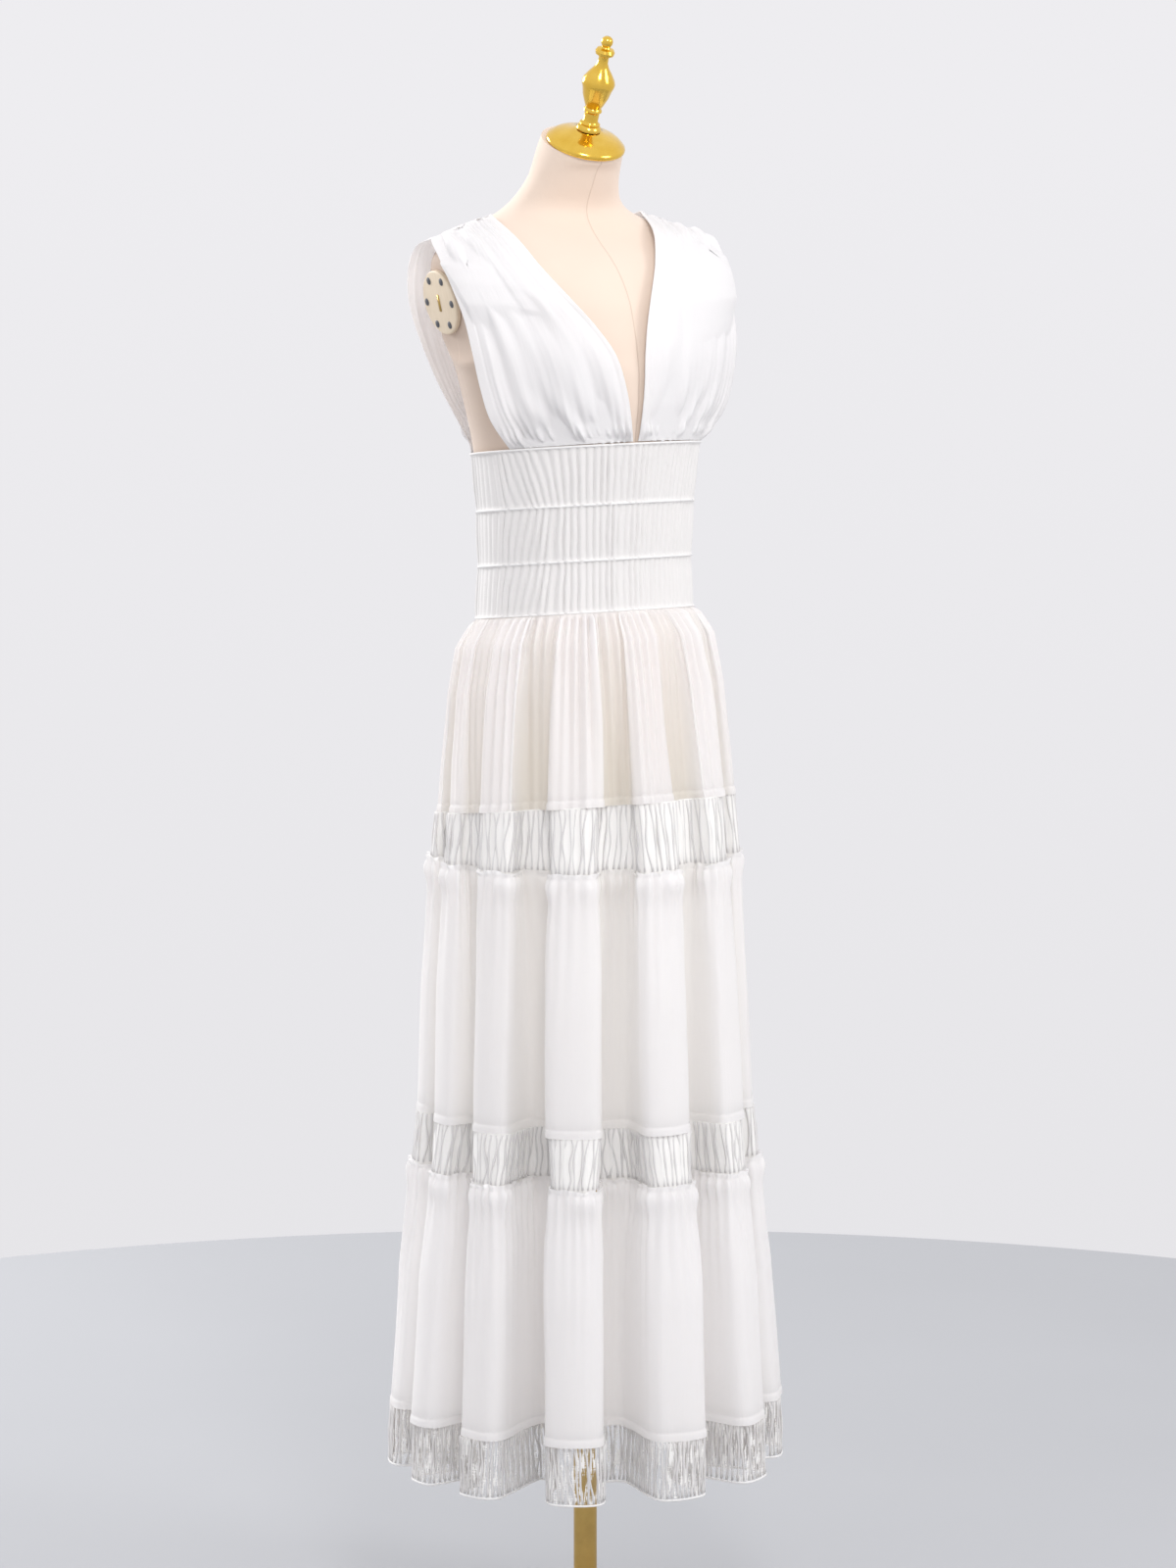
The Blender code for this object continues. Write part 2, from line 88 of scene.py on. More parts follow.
# The form's cover: z, half width, half depth, how far its middle lies behind the pole.
FORM_SECTIONS = np.array((
    (0.885, 0.118, 0.090, 0.0),
    (0.905, 0.128, 0.099, 0.0),
    (0.980, 0.133, 0.104, 0.0),
    (1.030, 0.132, 0.102, 0.0),
    (1.070, 0.125, 0.095, 0.0),
    (1.100, 0.1185, 0.0895, 0.0),
    (1.164, 0.1150, 0.0870, 0.0),
    (1.222, 0.1165, 0.0920, 0.0),
    (1.270, 0.1205, 0.0985, 0.0),
    (1.300, 0.1250, 0.1040, 0.0),
    (1.335, 0.133, 0.1110, 0.0),
    (1.370, 0.143, 0.1120, 0.0),
    (1.405, 0.162, 0.1060, 0.001),
    (1.440, 0.172, 0.0970, 0.004),
    (1.462, 0.172, 0.0880, 0.010),
    (1.480, 0.170, 0.0780, 0.018),
    (1.494, 0.158, 0.0680, 0.028),
    (1.502, 0.142, 0.0620, 0.035),
    (1.510, 0.122, 0.0580, 0.040),
    (1.518, 0.100, 0.0540, 0.045),
    (1.527, 0.078, 0.0500, 0.048),
    (1.540, 0.061, 0.0460, 0.043),
    (1.562, 0.050, 0.0450, 0.028),
    (1.585, 0.046, 0.0440, 0.014),
    (1.600, 0.043, 0.0400, 0.005),
))

# The skirt: z, half width and half depth over the folds, how deep the folds are.
SKIRT_SECTIONS = np.array((
    (1.1100, 0.1213, 0.0926, 0.0009),
    (1.0800, 0.142, 0.1140, 0.0070),
    (1.0300, 0.153, 0.1260, 0.0120),
    (0.9600, 0.160, 0.1380, 0.0190),
    (0.9060, 0.163, 0.1480, 0.0240),
    (0.8530, 0.167, 0.1560, 0.0280),
    (0.7200, 0.176, 0.1720, 0.0460),
    (0.5780, 0.181, 0.1800, 0.0600),
    (0.5250, 0.186, 0.1860, 0.0660),
    (0.4100, 0.200, 0.2000, 0.0820),
    (0.2570, 0.211, 0.2110, 0.0960),
    (0.1970, 0.213, 0.2130, 0.1000),
))[::-1]

# One row a fold: the valley before it at the waist and at the hem in degrees, and its depth.
SKIRT_FOLDS = np.array((
    (-190, -188, 0.85),
    (-171, -166, 0.55),
    (-143, -140, 1.00),
    (-107, -106, 0.95),
    (-69, -74, 0.80),
    (-40, -44, 0.90),
    (-10, -10, 0.75),
    (20, 22, 1.00),
    (52, 54, 0.80),
    (84, 82, 0.95),
    (112, 114, 0.70),
    (142, 143, 0.90),
))
FOLD_SQUARE = 0.92
VALLEY_FLAT = 1.5
# How far down the skirt, and how much more of each fold is ridge than valley there.
RIDGE_WIDTHS = np.array((
    (0.00, 0.015), (0.22, 0.020), (0.28, 0.000), (0.35, 0.040), (0.58, 0.030),
    (0.64, -0.012), (0.71, 0.052), (0.93, 0.040), (1.00, 0.030),
))
SIDE_FOLD = 6
SIDE_SEAM = 0.003
PATH_STEPS = 6000

# The bodice, from the seam under the bust to the shoulder. Each row holds the neck edge's x, y and
# z on the right side, the same on the left, the armhole edge's, and how far the cloth stands out.
FRONT_LEVELS = np.array((
    (0.004, -0.1068, 1.2976, 0.002, -0.1068, 1.2976, 0.113, -0.043, 1.2862, 0.004),
    (0.011, -0.1140, 1.3250, 0.0025, -0.1140, 1.3250, 0.141, -0.049, 1.3200, 0.012),
    (0.019, -0.1180, 1.3550, 0.003, -0.1180, 1.3550, 0.153, -0.048, 1.3550, 0.016),
    (0.031, -0.1180, 1.3880, 0.004, -0.1180, 1.3880, 0.160, -0.044, 1.3920, 0.017),
    (0.051, -0.1110, 1.4180, 0.010, -0.1120, 1.4180, 0.163, -0.033, 1.4240, 0.014),
    (0.075, -0.0980, 1.4480, 0.021, -0.1010, 1.4480, 0.168, -0.018, 1.4540, 0.009),
    (0.090, -0.0660, 1.4780, 0.044, -0.0700, 1.4800, 0.171, 0.002, 1.4820, 0.006),
    (0.094, -0.0230, 1.5060, 0.066, -0.0290, 1.5100, 0.171, 0.020, 1.5000, 0.003),
    (0.090, 0.0420, 1.5290, 0.092, 0.0420, 1.5290, 0.165, 0.034, 1.5050, 0.000),
))
BACK_LEVELS = np.array((
    (0.001, 0.0985, 1.2730, 0.001, 0.0985, 1.2730, 0.108, 0.052, 1.2855, 0.004),
    (0.001, 0.1100, 1.3100, 0.001, 0.1100, 1.3100, 0.123, 0.064, 1.3200, 0.014),
    (0.001, 0.1180, 1.3450, 0.001, 0.1180, 1.3450, 0.138, 0.074, 1.3550, 0.016),
    (0.001, 0.1180, 1.3850, 0.001, 0.1180, 1.3850, 0.152, 0.080, 1.3920, 0.018),
    (0.014, 0.1140, 1.4200, 0.012, 0.1140, 1.4200, 0.164, 0.080, 1.4240, 0.015),
    (0.038, 0.1090, 1.4550, 0.034, 0.1090, 1.4550, 0.171, 0.076, 1.4520, 0.010),
    (0.062, 0.1010, 1.4860, 0.060, 0.1010, 1.4860, 0.173, 0.068, 1.4800, 0.006),
    (0.083, 0.0860, 1.5160, 0.083, 0.0860, 1.5160, 0.171, 0.054, 1.4980, 0.003),
    (0.090, 0.0423, 1.5290, 0.092, 0.0423, 1.5290, 0.165, 0.0343, 1.5050, 0.000),
))
BODICE_EASE = 0.0016
SHOULDER_EASE = 0.0060
SHOULDER_Z = 1.483
LIFT = 0.0004
MOST_LIFTS = 400

# The camera of the picture: it stands in front of the dress's right shoulder.
CAMERA_AZIMUTH = math.radians(-30)
CAMERA_DISTANCE = 5.65
CAMERA_HEIGHT = 1.726
CAMERA_PITCH = math.radians(8.06)
CAMERA_TURN = math.radians(0.03)
PIXEL_LENGTH = 5480  # the lens, counted in pixels of the 1600 pixel side
PICTURE_HEIGHT = 1600
SENSOR_MM = 36.0

ROOM_LIGHT = 1.0
ROOM_COLOUR = (0.97, 0.97, 1.0, 1.0)
WALL = (238, 237, 240)
# Name, place, the point it looks at, size, power and colour.
LIGHTS = (
    ("key", (-0.85, -2.3, 3.0), (0, 0, 1.25), 0.7, 27.5, (1.0, 0.985, 0.98)),
    ("back", (-1.3, 3.6, 2.6), (0, 0, 1.2), 1.4, 115, (1, 1, 1)),
    ("fill", (2.4, -3.2, 2.8), (0, 0, 1.1), 1.6, 44, (1, 1, 1)),
)


# The colour sockets of a Mix node, and the plain number that an Attribute node gives.
MIX_FACTOR = 0
MIX_FIRST = 6
MIX_SECOND = 7
MIX_RESULT = 2
ATTRIBUTE_NUMBER = 2


class Value:
    """A shader value, so that maths on sockets reads as an expression."""

    def __init__(self, tree, socket):
        self.tree, self.socket = tree, socket

    def maths(self, operation, *others):
        return self.tree.add("ShaderNodeMath", {"operation": operation}, [self, *others])

    def __add__(self, other):
        return self.maths("ADD", other)

    def __sub__(self, other):
        return self.maths("SUBTRACT", other)

    def __mul__(self, other):
        return self.maths("MULTIPLY", other)

    def __rsub__(self, other):
        return (self * -1.0).maths("ADD", other)

    def clamp(self, low=0.0, high=1.0):
        return self.maths("MAXIMUM", low).maths("MINIMUM", high)

    __radd__ = __add__
    __rmul__ = __mul__


class Tree:
    """The node tree of a material or of the world."""

    def __init__(self, owner):
        self.owner = owner
        owner.use_nodes = True
        self.nodes = owner.node_tree.nodes
        self.links = owner.node_tree.links
        self.nodes.clear()

    def add(self, kind, settings=None, inputs=None, output=0):
        node = self.nodes.new(kind)
        for name, value in (settings or {}).items():
            setattr(node, name, value)
        items = inputs.items() if isinstance(inputs, dict) else enumerate(inputs or ())
        for key, value in items:
            if isinstance(value, Value):
                self.links.new(value.socket, node.inputs[key])
            else:
                node.inputs[key].default_value = value
        return Value(self, node.outputs[output]) if node.outputs else None

    def coordinates(self, kind, scale=(1, 1, 1)):
        source = self.add("ShaderNodeTexCoord", output=kind)
        return self.add("ShaderNodeMapping", {}, {"Vector": source, "Scale": scale})

    def noise(self, vector, scale=1.0, detail=3.0, roughness=0.5):
        return self.add("ShaderNodeTexNoise", {}, {
            "Vector": vector, "Scale": scale, "Detail": detail, "Roughness": roughness})

    def axis(self, vector, letter):
        return self.add("ShaderNodeSeparateXYZ", {}, [vector], letter)

    def spread(self, value, source, target=(0.0, 1.0)):
        """The value's run between two ends, laid out between two others."""
        return self.add("ShaderNodeMapRange", {}, {
            "Value": value, "From Min": source[0], "From Max": source[1],
            "To Min": target[0], "To Max": target[1]})

    def mix(self, factor, first, second, **settings):
        inputs = {MIX_FACTOR: factor, MIX_FIRST: first, MIX_SECOND: second}
        return self.add("ShaderNodeMix", {"data_type": "RGBA", **settings}, inputs, MIX_RESULT)

    def bump(self, height, distance, strength, **inputs):
        return self.add("ShaderNodeBump", {}, {
            "Height": height, "Distance": distance, "Strength": strength, **inputs})

    def principled(self, **inputs):
        named = {name.replace("_", " "): value for name, value in inputs.items()}
        return self.add("ShaderNodeBsdfPrincipled", {}, named)

    def lit_through(self, share, cloth, **inputs):
        """Cloth of which a share passes the light on to its other side."""
        glow = self.add("ShaderNodeBsdfTranslucent", {}, inputs)
        return self.finish(self.add("ShaderNodeMixShader", {}, [share, cloth, glow]))

    def finish(self, shader, kind="ShaderNodeOutputMaterial"):
        self.add(kind, {}, [shader])
        return self.owner


def paint(name):
    return Tree(bpy.data.materials.new(name))


def rgb(red, green, blue):
    """A colour given in the 0 to 255 values that a picture shows."""
    shares = (red / 255, green / 255, blue / 255)
    linear = [((c + 0.055) / 1.055) ** 2.4 if c > 0.04045 else c / 12.92 for c in shares]
    return (*linear, 1.0)


def voile(name, see_through, dark, light):
    """Thin white cotton: an open plain weave with slubs, long crinkles down the cloth, and painted shade
    in the folds' valleys.
    """
    t = paint(name)
    crinkle = t.noise(t.coordinates("UV", scale=(150, 12, 1)), detail=4.0, roughness=0.6)
    warp = t.noise(t.coordinates("UV", scale=(1500, 60, 1)), detail=2.0)
    weft = t.noise(t.coordinates("UV", scale=(60, 1500, 1)), detail=2.0)
    cloudy = t.noise(t.coordinates("UV"), scale=9.0, detail=2.0)
    normal = t.bump(crinkle, distance=0.0010, strength=0.45)
    normal = t.bump(warp + weft, distance=0.00025, strength=0.35, Normal=normal)
    colour = t.mix((cloudy * 0.6 + (warp + weft) * 0.2).clamp(), dark, light)
    # Painted shade: the cloth turns a darker cream in the deep valleys of the folds, as much as the point
    # attribute given by each tier says.
    valley_shade = t.add("ShaderNodeAttribute", {"attribute_name": "valley_shade"}, output=ATTRIBUTE_NUMBER)
    colour = t.mix(valley_shade, colour, rgb(231, 226, 213))
    rough = (0.80 + (warp - 0.5) * 0.2).clamp(0.6, 0.95)
    cloth = t.principled(Base_Color=colour, Roughness=rough, Normal=normal, Sheen_Weight=0.15)
    return t.lit_through(see_through, cloth, Color=light, Normal=normal)


def spun_thread(name, dark, light):
    """Soft spun cotton thread, with a twist that runs round it."""
    t = paint(name)
    fuzz = t.noise(t.coordinates("Object"), scale=900.0, detail=2.0)
    twist = t.noise(t.coordinates("Object", scale=(700, 700, 260)), detail=1.0)
    colour = t.mix(fuzz, dark, light)
    normal = t.bump(twist, distance=0.0003, strength=0.5)
    thread = t.principled(Base_Color=colour, Roughness=0.82, Normal=normal, Sheen_Weight=0.1)
    return t.lit_through(0.25, thread, Color=light)


def net(name, open_share, see_through):
    """Fine cotton net: close upright strands with crossing ones, and slits between them."""
    t = paint(name)
    strands = t.noise(t.coordinates("UV", scale=(520, 40, 1)), detail=2.0, roughness=0.6)
    rungs = t.noise(t.coordinates("UV", scale=(120, 900, 1)), detail=1.0)
    cover = t.spread(strands + rungs * 0.25, (open_share, open_share + 0.03))
    colour = t.mix(strands, rgb(241, 239, 235), rgb(250, 249, 247))
    normal = t.bump(strands, distance=0.0006, strength=0.6)
    cloth = t.principled(Base_Color=colour, Roughness=0.85, Normal=normal, Alpha=cover)
    return t.lit_through(see_through, cloth, Color=rgb(251, 250, 248), Normal=normal)


SIDE_SEAM_Y = 0.012  # where the form's cover is joined, behind its middle


def form_cover():
    """Fine knitted jersey over the padded form, with painted shade that darkens its sides, and four
    joined seams.
    """
    t = paint("form cover")
    place = t.coordinates("Object")
    knit = t.noise(t.coordinates("Object", scale=(1400, 1400, 500)), detail=1.0)
    mottle = t.noise(place, scale=14.0)
    colour = t.mix(mottle, rgb(224, 204, 188), rgb(230, 212, 196))
    from_middle = t.axis(place, "X").maths("ABSOLUTE")
    # Painted shade: the cover darkens towards its sides under the arms, where the dress shades the form.
    side = t.spread(from_middle, (0.090, 0.128))
    colour = t.mix(side, colour, rgb(203, 183, 167))
    from_side = (t.axis(place, "Y") - SIDE_SEAM_Y).maths("ABSOLUTE") + (1.0 - side)
    groove = t.spread(from_middle.maths("MINIMUM", from_side), (0.0002, 0.0010))
    colour = t.mix(groove, rgb(212, 192, 175), colour)
    normal = t.bump(groove + knit * 0.25, distance=0.0006, strength=0.5)
    return t.finish(t.principled(Base_Color=colour, Roughness=0.88, Normal=normal, Sheen_Weight=0.2))


def gold():
    t = paint("gold")
    place = t.coordinates("Object")
    wear = t.noise(place, scale=60.0, detail=4.0, roughness=0.6)
    colour = t.mix(wear, rgb(222, 176, 62), rgb(244, 206, 98))
    rough = (0.08 + wear * 0.14).clamp(0.06, 0.4)
    normal = t.bump(t.noise(place, scale=420.0, detail=2.0), distance=0.0001, strength=0.25)
    return t.finish(t.principled(Base_Color=colour, Roughness=rough, Normal=normal, Metallic=1.0))


def aged_brass():
    t = paint("aged brass")
    grain = t.noise(t.coordinates("Object", scale=(500, 500, 6)), detail=2.0)
    tarnish = t.noise(t.coordinates("Object"), scale=26.0, detail=5.0, roughness=0.65)
    colour = t.mix(tarnish, rgb(166, 136, 78), rgb(212, 180, 110))
    rough = (0.26 + tarnish * 0.2).clamp(0.2, 0.6)
    normal = t.bump(grain, distance=0.00015, strength=0.3)
    return t.finish(t.principled(Base_Color=colour, Roughness=rough, Normal=normal, Metallic=1.0))


def plate_board():
    """Varnished fibre board in the form's own colour."""
    t = paint("plate board")
    grain = t.noise(t.coordinates("Object", scale=(60, 240, 60)), detail=4.0)
    colour = t.mix(grain, rgb(216, 198, 172), rgb(230, 214, 190))
    normal = t.bump(grain, distance=0.0002, strength=0.3)
    return t.finish(t.principled(Base_Color=colour, Roughness=0.55, Normal=normal, Coat_Weight=0.1))


def slate_paint():
    t = paint("slate paint")
    speck = t.noise(t.coordinates("Object"), scale=500.0, detail=2.0)
    colour = t.mix(speck, rgb(66, 68, 74), rgb(88, 90, 96))
    return t.finish(t.principled(Base_Color=colour, Roughness=0.5))


def floor_paint():
    t = paint("floor paint")
    mottle = t.noise(t.coordinates("Object"), scale=2.0, detail=2.0)
    colour = t.mix(mottle, rgb(167, 168, 171), rgb(171, 172, 175))
    return t.finish(t.principled(Base_Color=colour, Roughness=0.7))


VOILE = voile("voile", 0.42, rgb(249, 247, 247), rgb(253, 252, 252))
BODICE_VOILE = voile("bodice voile", 0.28, rgb(244, 242, 242), rgb(249, 248, 248))
WAIST_VOILE = voile("waist voile", 0.12, rgb(233, 230, 228), rgb(239, 237, 235))
THREAD = spun_thread("lace thread", rgb(230, 228, 227), rgb(240, 238, 237))
CORD = spun_thread("cord", rgb(250, 249, 248), rgb(253, 252, 251))
NET = net("lace net", 0.15, 0.10)
HEM_NET = net("hem net", 0.64, 0.10)
COVER = form_cover()
GOLD = gold()
BRASS = aged_brass()
BOARD = plate_board()
SLATE = slate_paint()
SLOT_BRASS = aged_brass()


def piece(name, mesh, material, nodes=()):
    """A finished piece of the part, which stands for these solids."""
    made = bpy.data.objects.new(name, mesh)
    bpy.context.scene.collection.objects.link(made)
    mesh.materials.clear()
    mesh.materials.append(material)
    mesh.shade_smooth()
    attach(made, "root")
    if nodes:
        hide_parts(*nodes)
    return made


def plain_mesh(made):
    """The evaluated shape as a plain mesh with its place in its points, the helper object removed."""
    bpy.context.view_layer.update()
    mesh = bpy.data.meshes.new_from_object(made.evaluated_get(bpy.context.evaluated_depsgraph_get()))
    mesh.transform(made.matrix_world)
    bpy.data.objects.remove(made, do_unlink=True)
    return mesh


def grid_mesh(name, points, uv, thickness=0.0, closed=False):
    """Quads through rows of points, top row first, each row anticlockwise seen from above."""
    rows, columns = points.shape[:2]
    index = np.arange(rows * columns).reshape(rows, columns)
    along = np.roll(index, -1, axis=1) if closed else index[:, 1:]
    here = index if closed else index[:, :-1]
    faces = np.stack([here[:-1], here[1:], along[1:], along[:-1]], axis=-1).reshape(-1, 4)
    mesh = bpy.data.meshes.new(name)
    mesh.from_pydata(points.reshape(-1, 3).tolist(), [], faces.tolist())
    layer = mesh.uv_layers.new(name="UVMap")
    corners = np.empty(len(mesh.loops), dtype=np.int32)
    mesh.loops.foreach_get("vertex_index", corners)
    spread = uv.reshape(-1, 2)[corners]
    if closed:
        width = float(uv[..., 0].max()) * columns / (columns - 1)
        quads = spread[:, 0].reshape(-1, 4)
        wraps = quads.max(axis=1) - quads.min(axis=1) > width / 2
        quads[wraps] = np.where(quads[wraps] < width / 2, quads[wraps] + width, quads[wraps])
    layer.data.foreach_set("uv", spread.astype(np.float32).reshape(-1))
    if not thickness:
        return mesh
    made = bpy.data.objects.new(name, mesh)
    bpy.context.scene.collection.objects.link(made)
    wall = made.modifiers.new("wall", "SOLIDIFY")
    wall.thickness = thickness
    wall.offset = -1.0
    return plain_mesh(made)


def normals_of(points, closed=False):
    """Unit normals of a grid, outwards for rows that run anticlockwise from the top down."""
    if closed:
        across = np.roll(points, -1, axis=1) - np.roll(points, 1, axis=1)
    else:
        across = np.gradient(points, axis=1)
    down = np.gradient(points, axis=0)
    normal = np.cross(down, across)
    return normal / np.maximum(np.linalg.norm(normal, axis=-1, keepdims=True), 1e-12)


def lengths(points, axis):
    """How far along the cloth each point lies, from the first in its row or column."""
    step = np.linalg.norm(np.diff(points, axis=axis), axis=-1)
    pad = [(0, 0), (0, 0)]
    pad[axis] = (1, 0)
    return np.cumsum(np.pad(step, pad), axis=axis)


def area_of(points):
    """The surface of a grid of points."""
    a, b = points[1:, 1:] - points[:-1, :-1], points[1:, :-1] - points[:-1, 1:]
    return float(np.linalg.norm(np.cross(a, b), axis=-1).sum() / 2)


def spline(values, n, f):
    """A smooth curve through the values: the share f of the way from value n to the next."""
    a, b, c, d = values[n - 1], values[n], values[n + 1], values[n + 2]
    return b + 0.5 * f * (c - a + f * (2 * a - 5 * b + 4 * c - d + f * (3 * (b - c) + d - a)))


def smooth_noise(rng, x, spacing):
    """A smooth random curve over x, from -1 to 1, with a knot every spacing."""
    low, high = float(np.min(x)), float(np.max(x))
    knots = int((high - low) / spacing) + 4
    values = rng.uniform(-1, 1, knots)
    place = (np.asarray(x) - low) / spacing + 1
    n = np.clip(place.astype(int), 1, knots - 3)
    return spline(values, n, place - n)


def varied(rng, x, spacing, by, around=0.0):
    """A smooth random curve over x that runs this far to either side of a middle value."""
    return around + by * smooth_noise(rng, x, spacing)


def step_up(x, low, high):
    s = np.clip((x - low) / (high - low), 0, 1)
    return s * s * (3 - 2 * s)


def step_down(x, low, high):
    return 1 - step_up(x, low, high)


def bell(x, middle, width):
    return np.exp(-((x - middle) / width) ** 2)


def unit(vectors):
    return vectors / np.linalg.norm(vectors, axis=-1, keepdims=True)


def outwards(points):
    """Level directions from the pole's axis towards the points."""
    return unit(points * (1, 1, 0))


def stacked(*values):
    """Coordinates put together, each spread over the rows and columns of the others."""
    return np.stack(np.broadcast_arrays(*values), axis=-1)


def ellipse(angle, wide, deep):
    return 1.0 / np.hypot(np.cos(angle) / wide, np.sin(angle) / deep)


def section(table, z, n):
    return np.interp(z, table[:, 0], table[:, n])


def arm_end(z):
    """How far out the form's flat ends for the arm plates lie."""
    limit = PLATE_X + (z - PLATE_Z) * math.tan(PLATE_TILT)
    return np.where((z > ARM_END_Z[0]) & (z < ARM_END_Z[1]), limit, NO_LIMIT)


def cut_at(radius, angle, limit):
    """The radius, cut off where it passes the limit to the left or right."""
    return np.minimum(radius, limit / np.maximum(np.abs(np.cos(angle)), 0.01))


def form_radius(angle, z):
    wide, deep = section(FORM_SECTIONS, z, 1), section(FORM_SECTIONS, z, 2)
    return cut_at(ellipse(angle, wide, deep), angle, arm_end(z))


def fold_place(turn, drop):
    """The angle of each place counted in folds, and how far its fold goes in, drop from 0 to 1."""
    count = len(SKIRT_FOLDS)
    n = np.floor(turn).astype(int)
    along = turn - n
    valleys = np.vstack([SKIRT_FOLDS, SKIRT_FOLDS[:1] + (360, 360, 0)])
    here, after = valleys[n % count], valleys[n % count + 1]
    start_at = here[..., 0] + (here[..., 1] - here[..., 0]) * drop
    end_at = after[..., 0] + (after[..., 1] - after[..., 0]) * drop
    wider = np.interp(drop, RIDGE_WIDTHS[:, 0], RIDGE_WIDTHS[:, 1]) * np.sin(2 * np.pi * along)
    eased = along + FOLD_SQUARE * np.sin(4 * np.pi * along) / (4 * np.pi) - wider
    wave = 0.5 + 0.5 * np.tanh(VALLEY_FLAT * np.cos(2 * np.pi * along)) / math.tanh(VALLEY_FLAT)
    depth = np.where(along < 0.5, here[..., 2], after[..., 2])
    return np.radians(start_at + (end_at - start_at) * eased), depth * wave


def skirt_points(turn, z):
    """Points of the skirt's outer side, for arrays of places counted in folds and of heights."""
    drop = (WAIST_Z - z) / (WAIST_Z - HEM_Z)
    angle, inward = fold_place(turn, drop)
    wide, deep, depth = (section(SKIRT_SECTIONS, z, n) for n in (1, 2, 3))
    radius = ellipse(angle, wide, deep) - inward * depth
    level = np.interp(z, (TIER_2_TOP_Z, TIER_1_HEM_Z), (0.0, 1.0))
    x, y = radius * np.cos(angle), radius * np.sin(angle)
    return np.stack([x, y, z - level * WAIST_TILT * y], axis=-1)


def even_turns(first, last, columns, z):
    """Places that lie evenly along the cloth at this height, and the cloth's length there."""
    turns = np.linspace(first + SIDE_SEAM, last - SIDE_SEAM, PATH_STEPS)
    path = skirt_points(turns, np.full_like(turns, z))
    run = np.concatenate([[0], np.cumsum(np.linalg.norm(np.diff(path, axis=0), axis=1))])
    return np.interp(np.linspace(0, run[-1], columns), run, turns), float(run[-1])


HALVES = (("front", 0, SIDE_FOLD), ("back", SIDE_FOLD, len(SKIRT_FOLDS)))
QUARTERS = {"front": ("front_right", "front_left"), "back": ("back_left", "back_right")}
# The gathers' width, depth and reach down the tier, the heading that stands up over the seam, how
# far the wider waves swell out, and how much painted shade the cloth takes on in the folds' valleys.
TIERS = (
    {"name": "skirt_tier_top", "top": WAIST_Z - CORD_RADIUS, "hem": TIER_1_HEM_Z, "gather": 0.011,
     "depth": 0.0042, "reach": 0.200, "heading": 0.0, "broad": 0.0050, "shade_tint": 1.0},
    {"name": "skirt_tier_middle", "top": TIER_2_TOP_Z, "hem": TIER_2_HEM_Z, "gather": 0.0125,
     "depth": 0.0030, "reach": 0.070, "heading": 0.0024, "broad": 0.0030, "shade_tint": 0.35},
    {"name": "skirt_tier_lower", "top": TIER_3_TOP_Z, "hem": TIER_3_HEM_Z, "gather": 0.0125,
     "depth": 0.0032, "reach": 0.070, "heading": 0.0024, "broad": 0.0030, "shade_tint": 0.12},
)
TIER_COLUMNS = 840
HEM_TURN = 0.008  # the turned hem's height, how far it stands out, and the stitched line over it
HEM_THICK = 0.0009
STITCH_SINK = 0.0007
STITCH_WIDTH = 0.0008
FULL_SHADE_DEPTH = 0.020  # a fold this deep has the full painted shade in its valley
GATHER_DROPS = (0, 0.002, 0.004, 0.007, 0.011, 0.016, 0.022, 0.030, 0.040, 0.052, 0.066)
HEM_RISES = (HEM_TURN + 0.0022, HEM_TURN + 0.0008, HEM_TURN, 0.005, 0.001, 0.0)
PLAIN_ROWS = 20
SLOW_SLANT = 0.35
SWAY_LENGTH = 0.05  # over this drop a gather drifts by its whole sideways share
PUFF_OUT = 0.0050  # the swelling under a heading: how far out, how far down and how tall
PUFF_DROP = 0.014
PUFF_HEIGHT = 0.011
RUFFLE = 0.0022
GATHERED_EASE = 1.12


def row_heights(top, hem):
    """Heights that lie close together at the gathers and at the turned hem."""
    start_at, end_at = top - np.array(GATHER_DROPS), hem + np.array(HEM_RISES)
    middle = np.linspace(start_at[-1], end_at[0], PLAIN_ROWS)[1:-1]
    return np.concatenate([start_at, middle, end_at])


def fine_gathers(spec, along, below, rng):
    """Gathers that die out down the tier, each of its own size, and where each lies in its wave."""
    gather = spec["gather"]
    phase = 2 * np.pi * along / gather + varied(rng, along, 3 * gather, by=2.4)
    size = varied(rng, along, 4 * gather, by=0.45, around=0.75)
    drift = varied(rng, along, 0.05, by=0.9)
    reach = spec["reach"] * varied(rng, along, 2 * gather, by=0.5, around=0.8)
    fade = np.exp(-np.clip(below - 0.004, 0, 9) / np.maximum(reach, 0.02))
    fade = fade * step_up(below, 0.0, 0.008)
    return spec["depth"] * size * fade * np.sin(phase + drift * below / SWAY_LENGTH), phase


def turned_hem(over):
    """The hem's second layer with the stitched line along its upper edge."""
    layer = HEM_THICK * step_down(over, HEM_TURN, HEM_TURN + 0.0010)
    return layer - STITCH_SINK * np.exp(-((over - HEM_TURN - 0.0008) / STITCH_WIDTH) ** 2)


